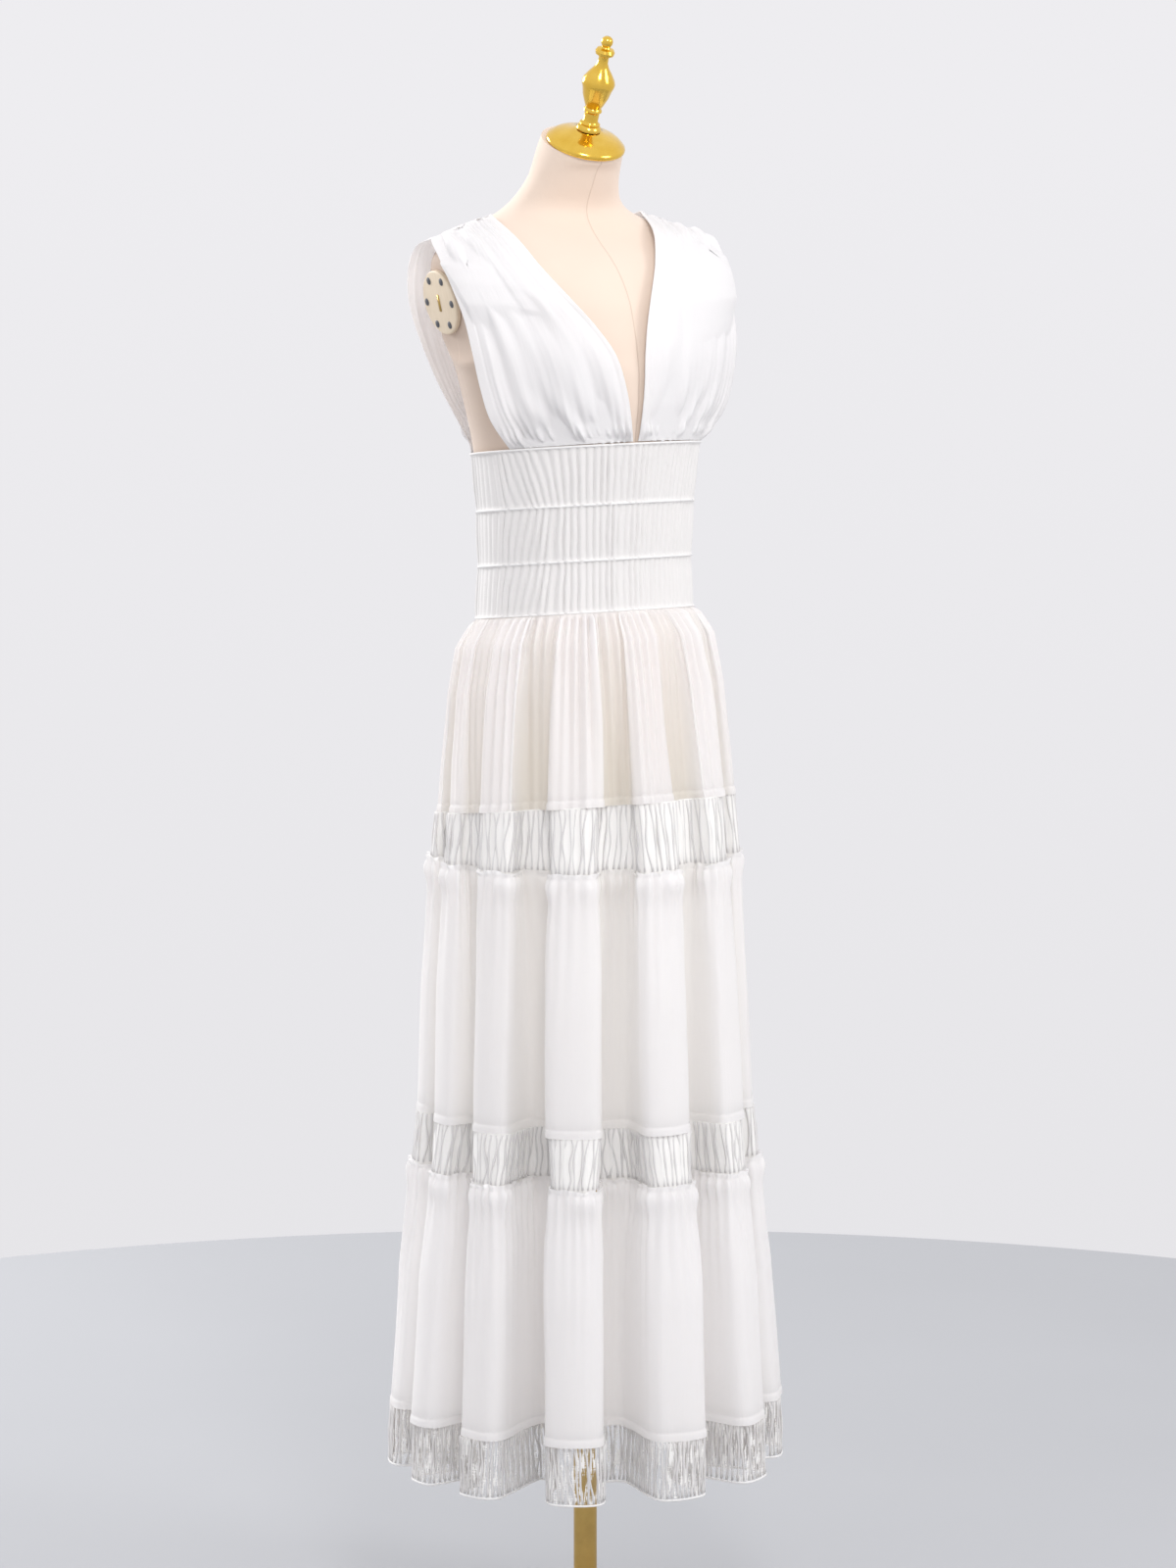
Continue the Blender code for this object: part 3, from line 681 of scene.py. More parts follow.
def tier(spec, side, first, last):
    """A gathered panel: fine gathers at its top seam that open into broad folds, and a turned hem."""
    name, top, hem, headed = spec["name"], spec["top"], spec["hem"], spec["heading"] > 0
    rng = np.random.default_rng(SEED + round(top * 1000) + (side == "back"))
    heights = row_heights(top - SEAM, hem + SEAM)
    turns, long = even_turns(first, last, TIER_COLUMNS, (top + hem) / 2)
    grid_turn, grid_z = np.meshgrid(turns, heights)
    base = skirt_points(grid_turn, grid_z)
    along = np.linspace(0, long, TIER_COLUMNS)
    below = top - heights[:, None]
    gathers, phase = fine_gathers(spec, along, below, rng)
    broad = varied(rng, along, 0.028, by=spec["broad"]) * step_up(below, 0.01, 0.12)
    slow = varied(rng, along + SLOW_SLANT * below, 0.045, by=0.0016) * step_up(below, 0.05, 0.2)
    heading = spec["heading"] * step_down(below, 0.0012, 0.0045) * (1 + 0.7 * np.sin(phase))
    lobes = varied(rng, along, 0.016, by=0.7, around=0.6)
    puff = PUFF_OUT * bell(below, PUFF_DROP, PUFF_HEIGHT) * headed * lobes
    turned = turned_hem(heights[:, None] - hem)
    shift = gathers + (broad + slow) * step_up(below, 0.0, 0.004) + heading + puff + turned
    points = base + normals_of(base) * shift[..., None]
    ruffled = varied(rng, along, 0.009, by=RUFFLE) * step_down(below, 0.001, 0.006)
    points[..., 2] += ruffled * headed
    mesh = grid_mesh(name, points, stacked(along, top - grid_z))
    # Painted shade for the voile: the deeper the fold lies here, the more of the darker cream its valley
    # takes on.
    inward = fold_place(grid_turn, (WAIST_Z - grid_z) / (WAIST_Z - HEM_Z))[1]
    depth = inward * section(SKIRT_SECTIONS, grid_z, 3)
    valley_shade = np.clip(depth / FULL_SHADE_DEPTH, 0, 1) * spec["shade_tint"]
    mesh.attributes.new("valley_shade", "FLOAT", "POINT").data.foreach_set("value", valley_shade.ravel())
    solids = [f"{name}_{part}" for part in (QUARTERS[side] if headed else (side,))]
    made = piece(f"{name}_{side}_cloth", mesh, VOILE, solids)
    flat = (round(long * GATHERED_EASE, 3), round(top - hem + 2 * HEM_TURN, 3))


for spec in TIERS:
    for half in HALVES:
        tier(spec, *half)

BODICE_COLUMNS = 110
BODICE_ROWS = 90
ARMHOLE_STRIP = 0.014
NECK_STRIP = 0.007
SHOULDER_GATHERS = 0.0012
BUST_GATHERS = 0.0028
BUST_PUFF = 0.0045
GATHER_COUNT = 17
GATHER_REACH = 0.12  # how far the gathers reach from a seam, as a share of the front's height
STITCHED_SINK = 0.0008
STITCHED_WIDTH = 0.0014
SEAM_ROWS = 8
SEWN_OUT = 0.0014
SEWN_REACH = 0.012
BODICE_CUT = 1.04

# Creases of a front: up from the seam for the start and the end, across from the neck edge for the
# start, the middle and the end, how deep, and how wide. The first two are tucks that stand up.
FRONT_CREASES = (
    (1.02, 0.02, 0.78, 0.72, 0.62, -0.0048, 0.0075),
    (1.02, 0.70, 0.52, 0.50, 0.47, -0.0050, 0.0065),
    (0.62, 0.30, 0.42, 0.40, 0.36, 0.0034, 0.013),
    (0.00, 0.44, 0.24, 0.22, 0.24, 0.0080, 0.008),
    (0.00, 0.26, 0.33, 0.34, 0.36, 0.0070, 0.007),
    (0.00, 0.30, 0.45, 0.54, 0.60, 0.0080, 0.008),
    (0.00, 0.22, 0.56, 0.64, 0.70, 0.0076, 0.008),
    (0.00, 0.20, 0.70, 0.76, 0.80, 0.0088, 0.009),
    (0.00, 0.17, 0.80, 0.84, 0.87, 0.0070, 0.008),
    (0.00, 0.32, 0.12, 0.13, 0.15, 0.0050, 0.007),
)
BACK_CREASES = FRONT_CREASES[3:]


def curve_through(values, x):
    """A smooth curve through evenly spaced values, x from 0 to 1."""
    last = len(values) - 1
    padded = np.concatenate([[2 * values[0] - values[1]], values, [2 * values[-1] - values[-2]]])
    place = np.clip(x, 0, 1) * last
    n = np.minimum(place.astype(int), last - 1)
    return spline(padded, n + 1, place - n)


def form_angle(x, y, z):
    """Angle and distance from the form's own middle at this height, and how far back that lies."""
    middle = section(FORM_SECTIONS, z, 3)
    return np.arctan2(y - middle, x), np.hypot(x, y - middle), middle


def clear_of_form(points, keep):
    """Moves points of the cloth off the form: upwards on the shoulders, outwards below them."""
    x, y, z = (points[..., n].copy() for n in range(3))
    for _ in range(MOST_LIFTS):
        angle, radius, _ = form_angle(x, y, z)
        inside = (radius < form_radius(angle, z) + keep) & (z > SHOULDER_Z)
        if not inside.any():
            break
        z = np.where(inside, z + LIFT, z)
    angle, radius, middle = form_angle(x, y, z)
    least = form_radius(angle, z) + keep
    inside = radius < least
    x = np.where(inside, least * np.cos(angle), x)
    y = np.where(inside, middle + least * np.sin(angle), y)
    return np.stack([x, y, z], axis=-1)


def crease_field(creases, across, up, width_of):
    """How deep the listed creases are at each place of a piece, a low ridge on either side."""
    field = np.zeros_like(across)
    for start, end, first, middle, last, depth, width in creases:
        t = np.clip((up - start) / (end - start), -0.15, 1.15)
        bend = 2 * (middle - (first + last) / 2)
        centre = first + (last - first) * t + bend * 2 * t * (1 - t)
        fade = np.exp(-np.clip(t - 0.15, 0, 9) ** 2 / 0.20)
        lengthways = fade * step_up(t, -0.12, 0.05) * step_down(t, 0.8, 1.1)
        away = (across - centre) * width_of / width
        ridges = 0.55 * np.exp(-(np.abs(away) - 1.9) ** 2 / 0.8)
        field += depth * lengthways * (np.exp(-away ** 2) - ridges)
    return field


def sewn_edge(edge, gathers):
    """The bodice's lowest row, laid along the seam under the bust."""
    radius = form_radius(np.arctan2(edge[:, 1], edge[:, 0]), edge[:, 2])
    level = unit(edge[:, :2]) * (radius + LAYER + CLOTH + SEWN_OUT + gathers * 0.5)[:, None]
    seam_z = UNDER_BUST_Z - WAIST_TILT * level[:, 1] + CORD_GAP
    return np.concatenate([level, seam_z[:, None]], axis=-1)


def bodice_points(levels, side, creases, rng):
    """The outer side of a bodice piece, its rows from the shoulder down."""
    across = np.linspace(0, 1, BODICE_COLUMNS)
    even = np.linspace(0, 1, BODICE_ROWS - SEAM_ROWS)
    close = np.linspace(0.004, 0.05, SEAM_ROWS)
    up = np.sort(np.concatenate([even, close]))[::-1]
    front = levels is FRONT_LEVELS
    if (side > 0) != front:
        across = across[::-1]
    row = [curve_through(levels[:, n], up) for n in range(10)]
    neck = np.stack(row[0:3] if side < 0 else row[3:6], axis=-1)[:, None, :]
    arm = np.stack(row[6:9], axis=-1)[:, None, :]
    a, u = np.meshgrid(across, up)
    place = (neck + (arm - neck) * a[..., None]) * (side, 1, 1)
    outward = outwards(place)
    wide = np.linalg.norm(arm - neck, axis=-1)
    strip = 1 - ARMHOLE_STRIP / wide
    inside = step_up(a, 0.0, 0.06) * step_down(a, strip - 0.05, strip)
    phase = 2 * np.pi * a * GATHER_COUNT + varied(rng, across, 0.10, by=2.2)
    size = varied(rng, across, 0.12, by=0.5, around=0.7)
    at_bust = BUST_GATHERS * np.exp(-u / GATHER_REACH)
    at_shoulder = SHOULDER_GATHERS * np.exp(-(1 - u) / GATHER_REACH) * step_down(u, 0.975, 1.0)
    gathers = inside * size * (at_bust + at_shoulder) * np.sin(phase)
    soft = varied(rng, across, 0.07, by=0.0012) * inside
    folds = -crease_field(creases, a, u, np.maximum(wide, 0.05)) * inside
    folds = folds * step_down(u, 0.955, 0.995)
    folds = np.where(u > 0.55, np.maximum(folds, -0.0010), folds)
    stitches = bell((1 - a) * wide, ARMHOLE_STRIP, STITCHED_WIDTH)
    stitches = stitches + bell(a * wide, NECK_STRIP, STITCHED_WIDTH)
    belly = 4 * curve_through(levels[:, 9], up)[:, None] * a * (1 - a)
    puff = BUST_PUFF * bell(u, 0.045, 0.035) * (1 + 0.5 * np.sin(phase))
    puff = puff * step_up(a, 0.0, 0.05) * step_down(a, 0.93, 1.0)
    place = place + outward * (belly + puff)[..., None]
    normal = normals_of(place)
    normal = normal * np.sign((normal * (outward + (0, 0, 0.5))).sum(axis=-1).mean())
    upper = step_up(u, 0.25, 0.5)[..., None]
    outward = outward * (1 - upper) + normal * upper
    shift = -STITCHED_SINK * stitches + gathers + soft + folds
    place = place + outward * shift[..., None]
    eases = (BODICE_EASE, SHOULDER_EASE, SHOULDER_EASE, BODICE_EASE)
    ease = np.interp(u, (0.2, 0.6, 0.95, 1.0), eases)
    place = clear_of_form(place, LAYER + CLOTH + ease)
    blend = np.exp(-(u / SEWN_REACH) ** 2)[..., None]
    return place * (1 - blend) + sewn_edge(place[-1], gathers[-1])[None] * blend


def bodice_piece(name, levels, side, creases):
    rng = np.random.default_rng(SEED + len(name) + (side > 0) * 11)
    cloth = BODICE_VOILE if levels is FRONT_LEVELS else VOILE
    points = bodice_points(levels, side, creases, rng)
    uv = np.stack([lengths(points, 1), lengths(points, 0)], axis=-1)
    made = piece(f"{name}_cloth", grid_mesh(name, points, uv, CLOTH), cloth, [name])
    wide, tall = float(uv[..., 0].max()) + 0.01, float(uv[..., 1].max()) + 0.01
    round(min(area_of(points) * BODICE_CUT, wide * tall), 4)


for side, word in ((-1, "right"), (1, "left")):
    bodice_piece(f"bodice_front_{word}", FRONT_LEVELS, side, FRONT_CREASES)
    bodice_piece(f"bodice_back_{word}", BACK_LEVELS, side, BACK_CREASES)

BAND_COLUMNS = WAIST_RIBS * 9
BAND_ROWS = np.concatenate([
    [0, 0.015, 0.035, 0.07], np.linspace(0.12, 0.88, 8), [0.93, 0.965, 0.985, 1]])
BAND_CLOTH = 0.6 * CLOTH
BAND_OUT = 0.0003
RIB_HEIGHT = 0.0036
SEAM_RISE = 0.0016  # the cloth rises to the cord in its last two millimetres
PLAIN_OUT = 0.0008
# Where the ribs slant and where they are finer, in degrees round the form, and how wide that is.
SLANT_AT = 208
SLANT_WIDTH = 16
FINER_AT = 295
FINER_WIDTH = 30
UV_RADIUS = 0.11
# Each band's seams, and how far its ribs lean on the wearer's right front, in radians a metre.
BANDS = (
    ("waist_band_top", UNDER_BUST_Z, UPPER_CORD_Z, 230.0),
    ("waist_band_middle", UPPER_CORD_Z, LOWER_CORD_Z, -170.0),
    ("waist_band_bottom", LOWER_CORD_Z, WAIST_Z, -150.0),
)


def waist_ring(z, columns, grow):
    """Points round the form at a waist seam's height, grow outside its cover."""
    angle = np.linspace(0, 2 * np.pi, columns, False)
    height = z - WAIST_TILT * form_radius(angle, np.full(columns, z)) * np.sin(angle)
    radius = form_radius(angle, height) + LAYER + grow
    return np.stack([radius * np.cos(angle), radius * np.sin(angle), height], axis=-1)


def waist_band(name, top, bottom, lean):
    """A shirred band: ribs that rise between its seams and flatten towards the side seams."""
    rng = np.random.default_rng(SEED + len(name))
    angle = np.linspace(0, 2 * np.pi, BAND_COLUMNS, False)
    degrees = np.degrees(angle)
    heights = (top - SEAM) + (bottom - top + 2 * SEAM) * BAND_ROWS
    slanting = bell(degrees, SLANT_AT, SLANT_WIDTH)
    from_side = np.minimum(np.abs(degrees - 180), np.minimum(degrees, 360 - degrees))
    shirred = 0.35 + 0.65 * step_up(from_side, 6, 17)
    wander = varied(rng, angle, 0.12, by=0.9)
    wander = wander * step_up(np.minimum(angle, 2 * np.pi - angle), 0, 0.2)
    wobble = varied(rng, angle, 0.06, by=0.5) * shirred
    size = varied(rng, angle, 0.09, by=0.3, around=0.85) * shirred
    size = RIB_HEIGHT * size * (1 - 0.35 * bell(degrees, FINER_AT, FINER_WIDTH))
    rows = []
    for share, z in zip(BAND_ROWS, heights):
        slant = lean * (z - (top + bottom) / 2) * slanting
        phase = WAIST_RIBS * angle + wander + slant + wobble * math.sin(9 * share)
        rib = np.abs(np.sin(phase / 2)) ** 0.8
        bulge = math.sin(math.pi * (0.02 + 0.96 * share)) ** 0.25
        at_seam = SEAM_RISE * math.exp(-(min(top - z, z - bottom) / SEAM_RISE) ** 2)
        plain = PLAIN_OUT * (1 - shirred) + at_seam
        grow = CLOTH + BAND_OUT + size * rib * (0.10 + 0.90 * bulge) + plain
        rows.append(waist_ring(z, BAND_COLUMNS, grow))
    points = np.array(rows)
    uv = stacked(angle * UV_RADIUS, top - heights[:, None])
    mesh = grid_mesh(name, points, uv, BAND_CLOTH, closed=True)
    made = piece(f"{name}_cloth", mesh, WAIST_VOILE, [name])


for band in BANDS:
    waist_band(*band)


def tube_mesh(name, paths, radius, sides=6, closed=False):
    """Round cords along these paths, an array of paths by points by coordinates."""
    paths = np.asarray(paths, dtype=float)
    many, long = paths.shape[:2]
    if closed:
        along = unit(np.roll(paths, -1, axis=1) - np.roll(paths, 1, axis=1))
    else:
        along = unit(np.gradient(paths, axis=1))
    side = unit(np.cross(along, outwards(paths)))
    outward = np.cross(side, along)
    turn = np.linspace(0, 2 * np.pi, sides, False)[:, None]
    wide = np.broadcast_to(np.asarray(radius), (many, long))[..., None, None]
    ring = side[..., None, :] * np.cos(turn) + outward[..., None, :] * np.sin(turn)
    points = paths[..., None, :] + ring * wide
    index = np.arange(many * long * sides).reshape(many, long, sides)
    here, after = (index, np.roll(index, -1, axis=1)) if closed else (index[:, :-1], index[:, 1:])
    corners = [here, np.roll(here, -1, axis=2), np.roll(after, -1, axis=2), after]
    faces = np.stack(corners, axis=-1).reshape(-1, 4).tolist()
    if not closed:
        faces += index[:, 0, ::-1].tolist() + index[:, -1].tolist()
    mesh = bpy.data.meshes.new(name)
    mesh.from_pydata(points.reshape(-1, 3).tolist(), [], faces)
    return mesh


def cords():
    """The four cords round the waist and the rolled cord at the edge of the hem lace."""
    for n, z in enumerate((UNDER_BUST_Z, UPPER_CORD_Z, LOWER_CORD_Z, WAIST_Z), 1):
        ring = waist_ring(z, CORD_COLUMNS, CORD_OUT + CORD_PROUD)
        mesh = tube_mesh("cord", [ring], CORD_RADIUS, sides=8, closed=True)
        piece(f"waist_cord_{n}_cord", mesh, CORD, [f"waist_cord_{n}"])
    turns = np.linspace(0, len(SKIRT_FOLDS), HEM_COLUMNS, False)
    hem = skirt_points(turns, np.full_like(turns, HEM_Z))
    hem[:, 2] -= CORD_RADIUS + SEAM
    piece("hem_edge", tube_mesh("hem", [hem], CORD_RADIUS, closed=True), CORD, ["hem_cord"])


cords()

LACES = (
    ("lace_upper", TIER_1_HEM_Z, TIER_2_TOP_Z),
    ("lace_middle", TIER_2_HEM_Z, TIER_3_TOP_Z),
    ("lace_hem", TIER_3_HEM_Z, HEM_Z),
)
GROUND_BACK = 0.0003
GROUND_COLUMNS = 420
GROUND_ROWS = 8
GROUND_START = 0.001
GROUND_UNDER = 0.006  # how far the net reaches behind the next tier, and how far back it lies there
GROUND_DEEPER = 0.004
RIPPLE = 0.0004
RIPPLE_LENGTH = 0.0113
THREAD_PITCH = 0.0056
THREAD_POINTS = 11
THREAD_RADIUS = 0.0011
THREAD_SIDES = 5
THREAD_SINK = 0.0006


def ground(name, top, bottom, side, first, last):
    """The fine net that lies between the lace's threads and holds them."""
    at_hem = bottom == HEM_Z
    turns, long = even_turns(first, last, GROUND_COLUMNS, (top + bottom) / 2)
    even = np.linspace(top + GROUND_START, bottom + GROUND_START, GROUND_ROWS)
    heights = np.append(even, bottom - (0.0 if at_hem else GROUND_UNDER))
    grid_turn, grid_z = np.meshgrid(turns, heights)
    base = skirt_points(grid_turn, grid_z)
    along = np.linspace(0, long, GROUND_COLUMNS)
    ripple = RIPPLE * np.sin(2 * np.pi * along / RIPPLE_LENGTH)
    back = np.where(grid_z < bottom - GROUND_UNDER / 2, GROUND_BACK + GROUND_DEEPER, GROUND_BACK)
    points = base + normals_of(base) * (ripple - back)[..., None]
    mesh = grid_mesh(name, points, stacked(along, top - grid_z))
    made = piece(f"{name}_{side}_net", mesh, HEM_NET if at_hem else NET)


def lace(name, top, bottom, side, first, last):
    """Ladder lace: loose threads between two seams, wavy, and here and there drawn together."""
    rng = np.random.default_rng(SEED + round(top * 1000) + (side == "back"))
    middle = (top + bottom) / 2
    count = int(even_turns(first, last, 10, middle)[1] / THREAD_PITCH)
    turns = even_turns(first, last, count, middle)[0]
    heights = np.linspace(top - SEAM, bottom + SEAM, THREAD_POINTS)
    share = np.linspace(0, 1, THREAD_POINTS)
    to_the_next = np.where(np.arange(count) % 2 == 0, 1.0, -1.0)
    pairing = to_the_next * rng.uniform(0.05, 0.42, count)
    lean = varied(rng, np.arange(count), 9.0, by=0.9)
    swing = rng.normal(0, 0.16, (count, 1))
    sway = swing * np.sin(2 * np.pi * share * rng.uniform(0.8, 1.6, (count, 1)))
    belly = np.sin(np.pi * share) ** 1.3
    shift = (pairing[:, None] * belly + lean[:, None] * share + sway) * np.gradient(turns)[:, None]
    grid_turn = np.clip(turns[:, None] + shift, first + SIDE_SEAM, last - SIDE_SEAM)
    points = skirt_points(grid_turn, np.broadcast_to(heights, grid_turn.shape))
    depth = rng.normal(0, THREAD_SINK, (count, 1)) * belly - THREAD_SINK
    points = points + outwards(points) * depth[..., None]
    thick = 0.85 + 0.25 * rng.random((count, 1))
    radius = THREAD_RADIUS * thick * (1 + 0.35 * np.cos(2 * np.pi * share) ** 2)
    mesh = tube_mesh(name, points, radius, THREAD_SIDES)
    piece(f"{name}_{side}_threads", mesh, THREAD, [f"{name}_{side}"])
    ground(name, top, bottom, side, first, last)


for name, top, bottom in LACES:
    for half in HALVES:
        lace(name, top, bottom, *half)

# Turned pieces: radius and height, from the top down.
ON_AXIS = 0.0001
FINIAL = (
    (ON_AXIS, 0.1218), (0.0030, 0.1214), (0.0052, 0.1196), (0.0062, 0.1168), (0.0060, 0.1138),
    (0.0042, 0.1106), (0.0050, 0.1092), (0.0088, 0.1080), (0.0103, 0.1052), (0.0097, 0.1022),
    (0.0060, 0.1002), (0.0053, 0.0980), (0.0056, 0.0925), (0.0080, 0.0872), (0.0128, 0.0805),
    (0.0165, 0.0745), (0.0176, 0.0705), (0.0170, 0.0672), (0.0158, 0.0640), (0.0140, 0.0560),
    (0.0104, 0.0470), (0.0082, 0.0425), (0.0096, 0.0405), (0.0098, 0.0390), (0.0080, 0.0370),
    (0.0078, 0.0285), (0.0090, 0.0262), (0.0108, 0.0250), (0.0104, 0.0232), (0.0122, 0.0214),
    (0.0131, 0.0192), (0.0129, 0.0176),
)
CAP = (
    (ON_AXIS, 0.0172), (0.0150, 0.0169), (0.0168, 0.0158), (0.0260, 0.0138), (0.0330, 0.0112),
    (0.0362, 0.0092), (0.0376, 0.0078), (0.0398, 0.0062), (0.0414, 0.0046), (0.0420, 0.0030),
    (0.0419, 0.0012), (0.0410, 0.0), (ON_AXIS, 0.0),
)
COLLAR_HEIGHT = 0.012
COLLAR = (
    (ON_AXIS, 0.0), (0.0290, 0.0), (0.0300, -0.0010), (0.0300, -0.0040), (0.0260, -0.0080),
    (0.0200, -COLLAR_HEIGHT), (ON_AXIS, -COLLAR_HEIGHT),
)
HUB_TOP_Z = 0.0600
HUB = (
    (ON_AXIS, HUB_TOP_Z), (0.0175, HUB_TOP_Z), (0.0188, 0.0592), (0.0198, 0.0570), (0.0200, 0.0540),
    (0.0200, 0.0340), (0.0218, 0.0290), (0.0262, 0.0232), (0.0318, 0.0180), (0.0340, 0.0130),
    (0.0340, 0.0103), (ON_AXIS, 0.0103),
)
STUD = ((ON_AXIS, 0.0012), (0.0026, 0.0010), (0.0038, 0.0004), (0.0042, -0.0006), (ON_AXIS, -0.0006))
BASE = (
    (ON_AXIS, 0.0100), (0.1420, 0.0100), (0.1455, 0.0094), (0.1485, 0.0078), (0.1498, 0.0055),
    (0.1500, 0.0012), (0.1488, 0.0), (ON_AXIS, 0.0),
)
TURNED_SIDES = 72
TURNED_EDGE = math.radians(38)
TORSO_EDGE = math.radians(50)
TORSO_ROWS = 180
TORSO_COLUMNS = 160
FLOOR_RADIUS = 1.95
FLOOR_SIDES = 128


def turned(name, profile, material, nodes, place=Matrix()):
    """A piece turned on the lathe, its profile set on the Z axis and then put in its place."""
    radius, z = np.array(profile).T[..., None]
    angle = np.linspace(0, 2 * np.pi, TURNED_SIDES, False)
    points = stacked(radius * np.cos(angle), radius * np.sin(angle), z)
    mesh = grid_mesh(name, points, stacked(angle, z), closed=True)
    mesh.transform(place)
    piece(name, mesh, material, nodes)
    mesh.set_sharp_from_angle(angle=TURNED_EDGE)


def metal():
    """The cap and the finial on the leaning neck, and the stand from the collar down to the base."""
    seat = Matrix.Translation((0, 0, NECK_Z)) @ Matrix.Rotation(NECK_TILT, 4, "X")
    turned("cap_turned", CAP, GOLD, ["neck_cap"], seat @ Matrix.Translation((0, 0, SEAM)))
    turned("finial_turned", FINIAL, GOLD, ["finial"], seat @ Matrix.Translation((0, 0, 2 * SEAM)))
    foot = FORM_FOOT_Z - SEAM
    turned("collar_turned", COLLAR, BRASS, ["form_collar"], Matrix.Translation((0, 0, foot)))
    top, bottom = foot - COLLAR_HEIGHT - SEAM, HUB_TOP_Z + SEAM
    pole = ((ON_AXIS, top), (POLE_RADIUS, top), (POLE_RADIUS, bottom), (ON_AXIS, bottom))
    turned("pole_tube", pole, BRASS, ["pole"])
    turned("hub_turned", HUB, BRASS, ["base_hub"])
    turned("base_turned", BASE, BRASS, ["base_plate"])


metal()


def smooth_section(z, n):
    """One column of the form's sections with its corners rounded off."""
    places = [np.clip(z + shift, FORM_FOOT_Z, NECK_Z) for shift in np.linspace(-0.008, 0.008, 9)]
    return np.mean([section(FORM_SECTIONS, place, n) for place in places], axis=0)[:, None]


def torso():
    """The padded form, flat where the arm plates sit, its rims closed."""
    heights = np.linspace(NECK_Z, FORM_FOOT_Z, TORSO_ROWS)
    angle = np.linspace(0, 2 * np.pi, TORSO_COLUMNS, False)
    wide, deep, middle = (smooth_section(heights, n) for n in (1, 2, 3))
    ease = 0.02 * step_down(heights, 1.345, 1.392)
    limit = PLATE_X + (heights - PLATE_Z) * math.tan(PLATE_TILT) + ease
    limit = np.where(heights < ARM_END_Z[1], limit, NO_LIMIT)[:, None]
    radius = cut_at(ellipse(angle, wide, deep), angle, limit)
    y = middle + radius * np.sin(angle)
    lean = math.tan(NECK_TILT) * y * step_up(heights, NECK_Z - 0.03, NECK_Z)[:, None]
    z = heights[:, None] + lean
    points = np.stack([radius * np.cos(angle), y, z], axis=-1)
    mesh = grid_mesh("torso", points, stacked(angle, z), closed=True)
    shape = bmesh.new()
    shape.from_mesh(mesh)
    rims = [edge for edge in shape.edges if edge.is_boundary]
    bmesh.ops.holes_fill(shape, edges=rims)
    shape.to_mesh(mesh)
    shape.free()
    piece("torso_cover", mesh, COVER, ["form_torso"])
    mesh.set_sharp_from_angle(angle=TORSO_EDGE)


torso()


def arm_plate(name, side):
    """A bevelled board with six sunk studs and a brass-lined slot."""
    out = Matrix.Rotation(side * (math.pi / 2 + PLATE_TILT), 4, "Y")
    seat = Vector((side * (PLATE_X + SEAM / math.cos(PLATE_TILT)), PLATE_Y, PLATE_Z))
    place = Matrix.Translation(seat) @ out
    edge, thick = PLATE_RADIUS, PLATE_THICKNESS
    board = (
        (ON_AXIS, thick), (edge - 0.0030, thick), (edge - 0.0010, thick - 0.0004), (edge, thick - 0.0016),
        (edge, 0.0010), (edge - 0.0008, 0.0), (ON_AXIS, 0.0),
    )
    turned(f"{name}_board", board, BOARD, [name], place)
    for n in range(STUDS):
        angle = 2 * math.pi * (n + 0.5) / STUDS
        where = Matrix.Translation((DOT_RING * math.cos(angle), DOT_RING * math.sin(angle), thick))
        turned(f"{name}_stud_{n}", STUD, SLATE, [], place @ where)
    mesh = bpy.data.meshes.new(f"{name}_slot")
    shape = bmesh.new()
    bmesh.ops.create_cube(shape, size=1.0)
    bmesh.ops.scale(shape, vec=SLOT_SIZE, verts=shape.verts)
    bmesh.ops.bevel(shape, geom=list(shape.edges), offset=0.0005, segments=2, affect="EDGES")
    shape.to_mesh(mesh)
    shape.free()
    mesh.transform(place @ Matrix.Translation((0, 0, thick)))
    piece(f"{name}_slot", mesh, SLOT_BRASS, [])


for side, word in ((-1, "right"), (1, "left")):
    arm_plate(f"arm_plate_{word}", side)


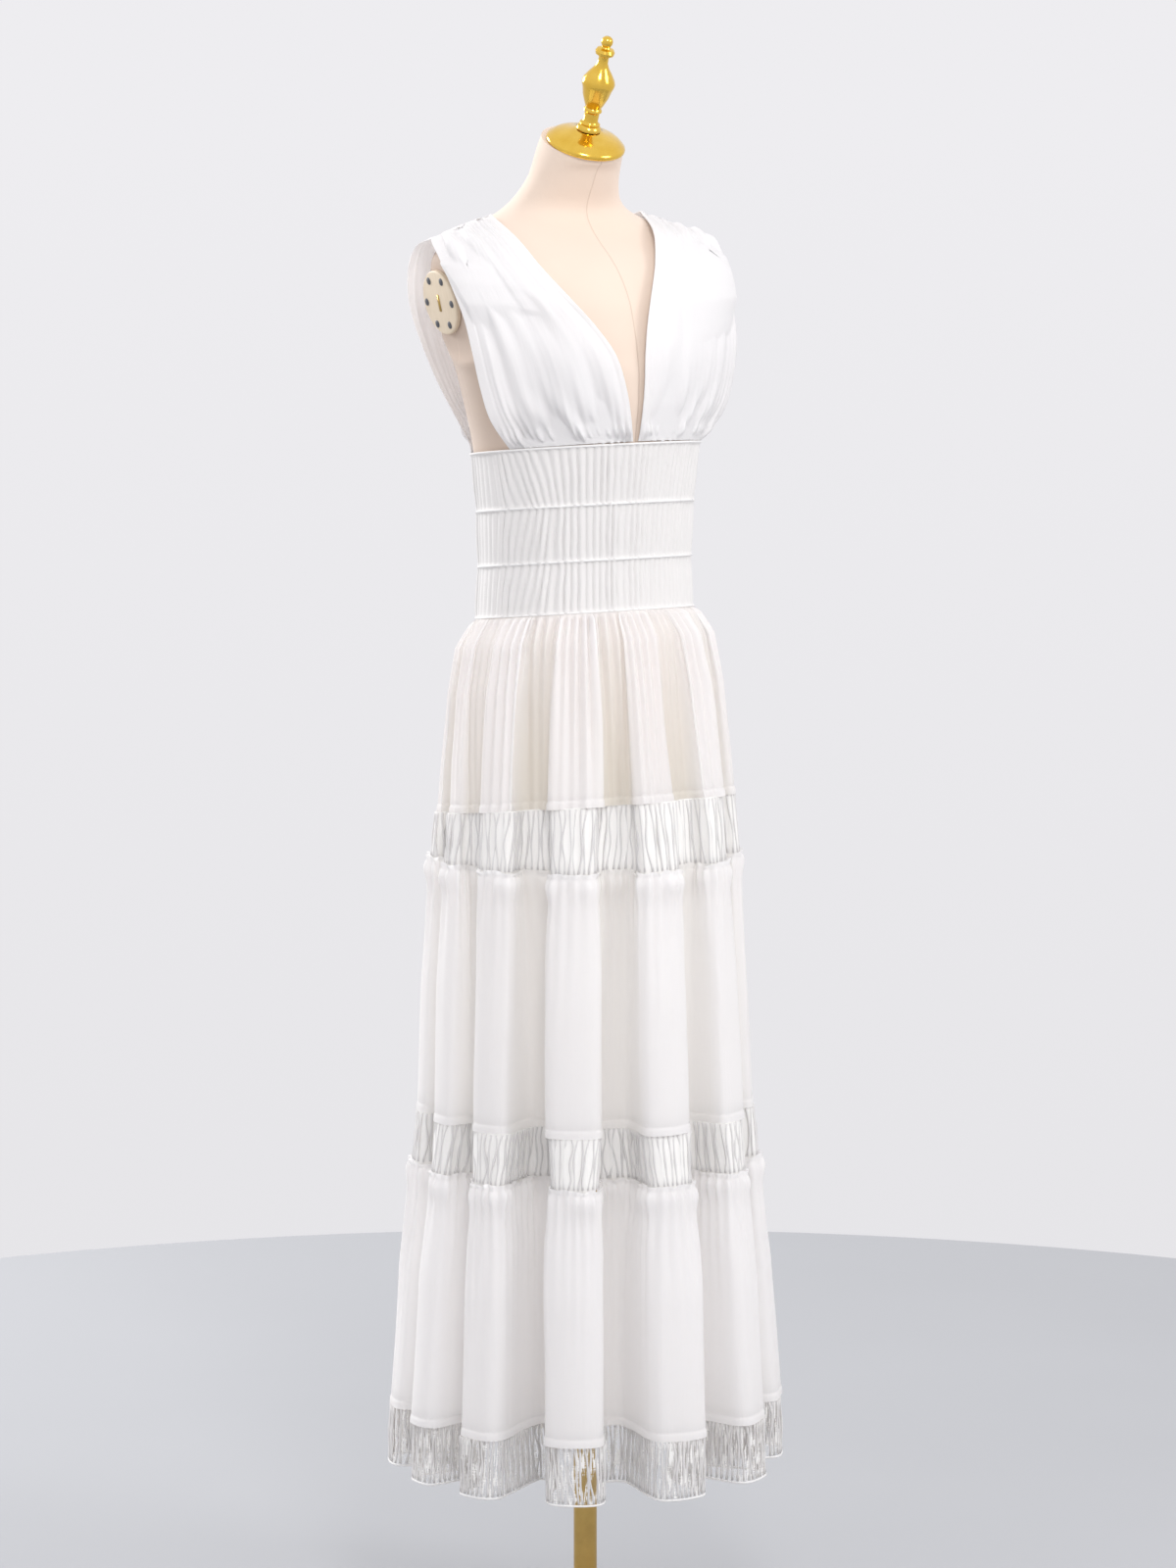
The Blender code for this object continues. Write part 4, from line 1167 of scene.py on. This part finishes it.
def floor():
    """The round of floor that the stand casts its shadow on."""
    angles = np.linspace(0, 2 * math.pi, FLOOR_SIDES, False)
    ring = [(FLOOR_RADIUS * math.cos(a), FLOOR_RADIUS * math.sin(a), 0) for a in angles]
    mesh = bpy.data.meshes.new("floor")
    mesh.from_pydata(ring, [], [tuple(range(FLOOR_SIDES))])
    mesh.materials.append(floor_paint())
    made = bpy.data.objects.new("floor", mesh)
    bpy.context.scene.collection.objects.link(made)


floor()


def area_light(name, place, target, size, power, colour):
    data = bpy.data.lights.new(name, "AREA")
    data.shape = "DISK"
    data.size = size
    data.energy = power
    data.color = colour
    lamp = bpy.data.objects.new(name, data)
    bpy.context.scene.collection.objects.link(lamp)
    lamp.location = place
    lamp.rotation_euler = (Vector(target) - Vector(place)).to_track_quat("-Z", "Y").to_euler()


def studio():
    """A plain pale wall behind with painted shade low down, and a soft studio around that is brighter
    above and on the left.
    """
    world = bpy.data.worlds.new("studio")
    bpy.context.scene.world = world
    t = Tree(world)
    place = t.add("ShaderNodeTexCoord", output="Generated")
    height, across = t.axis(place, "Z"), t.axis(place, "X")
    shade = t.spread(height, (-0.5, 0.6), (0.78, 1.0)) * t.spread(across, (-0.9, 0.9), (0.98, 1.02))
    shade_tint = t.mix(shade, (0, 0, 0, 1), ROOM_COLOUR, clamp_factor=False)
    room = t.add("ShaderNodeBackground", {}, {"Color": shade_tint, "Strength": ROOM_LIGHT})
    # Painted shade: the wall seen behind the dress grows darker low down, towards the floor.
    fade = t.spread(height, (-0.22, -0.02), (0.93, 1.0))
    wall = t.add("ShaderNodeBackground", {}, {"Color": rgb(*WALL), "Strength": fade})
    seen = t.add("ShaderNodeLightPath", output="Is Camera Ray")
    t.finish(t.add("ShaderNodeMixShader", {}, [seen, room, wall]), "ShaderNodeOutputWorld")
    for light in LIGHTS:
        area_light(*light)
    bpy.context.scene.view_settings.view_transform = "Standard"


def camera():
    data = bpy.data.cameras.new("camera")
    data.sensor_width = SENSOR_MM
    data.lens = PIXEL_LENGTH / PICTURE_HEIGHT * SENSOR_MM
    data.clip_end = 50
    made = bpy.data.objects.new("camera", data)
    bpy.context.scene.collection.objects.link(made)
    across, back = math.sin(CAMERA_AZIMUTH), math.cos(CAMERA_AZIMUTH)
    made.location = (CAMERA_DISTANCE * across, -CAMERA_DISTANCE * back, CAMERA_HEIGHT)
    made.rotation_euler = (math.pi / 2 - CAMERA_PITCH, 0, CAMERA_AZIMUTH - CAMERA_TURN)
    bpy.context.scene.camera = made


camera()
studio()
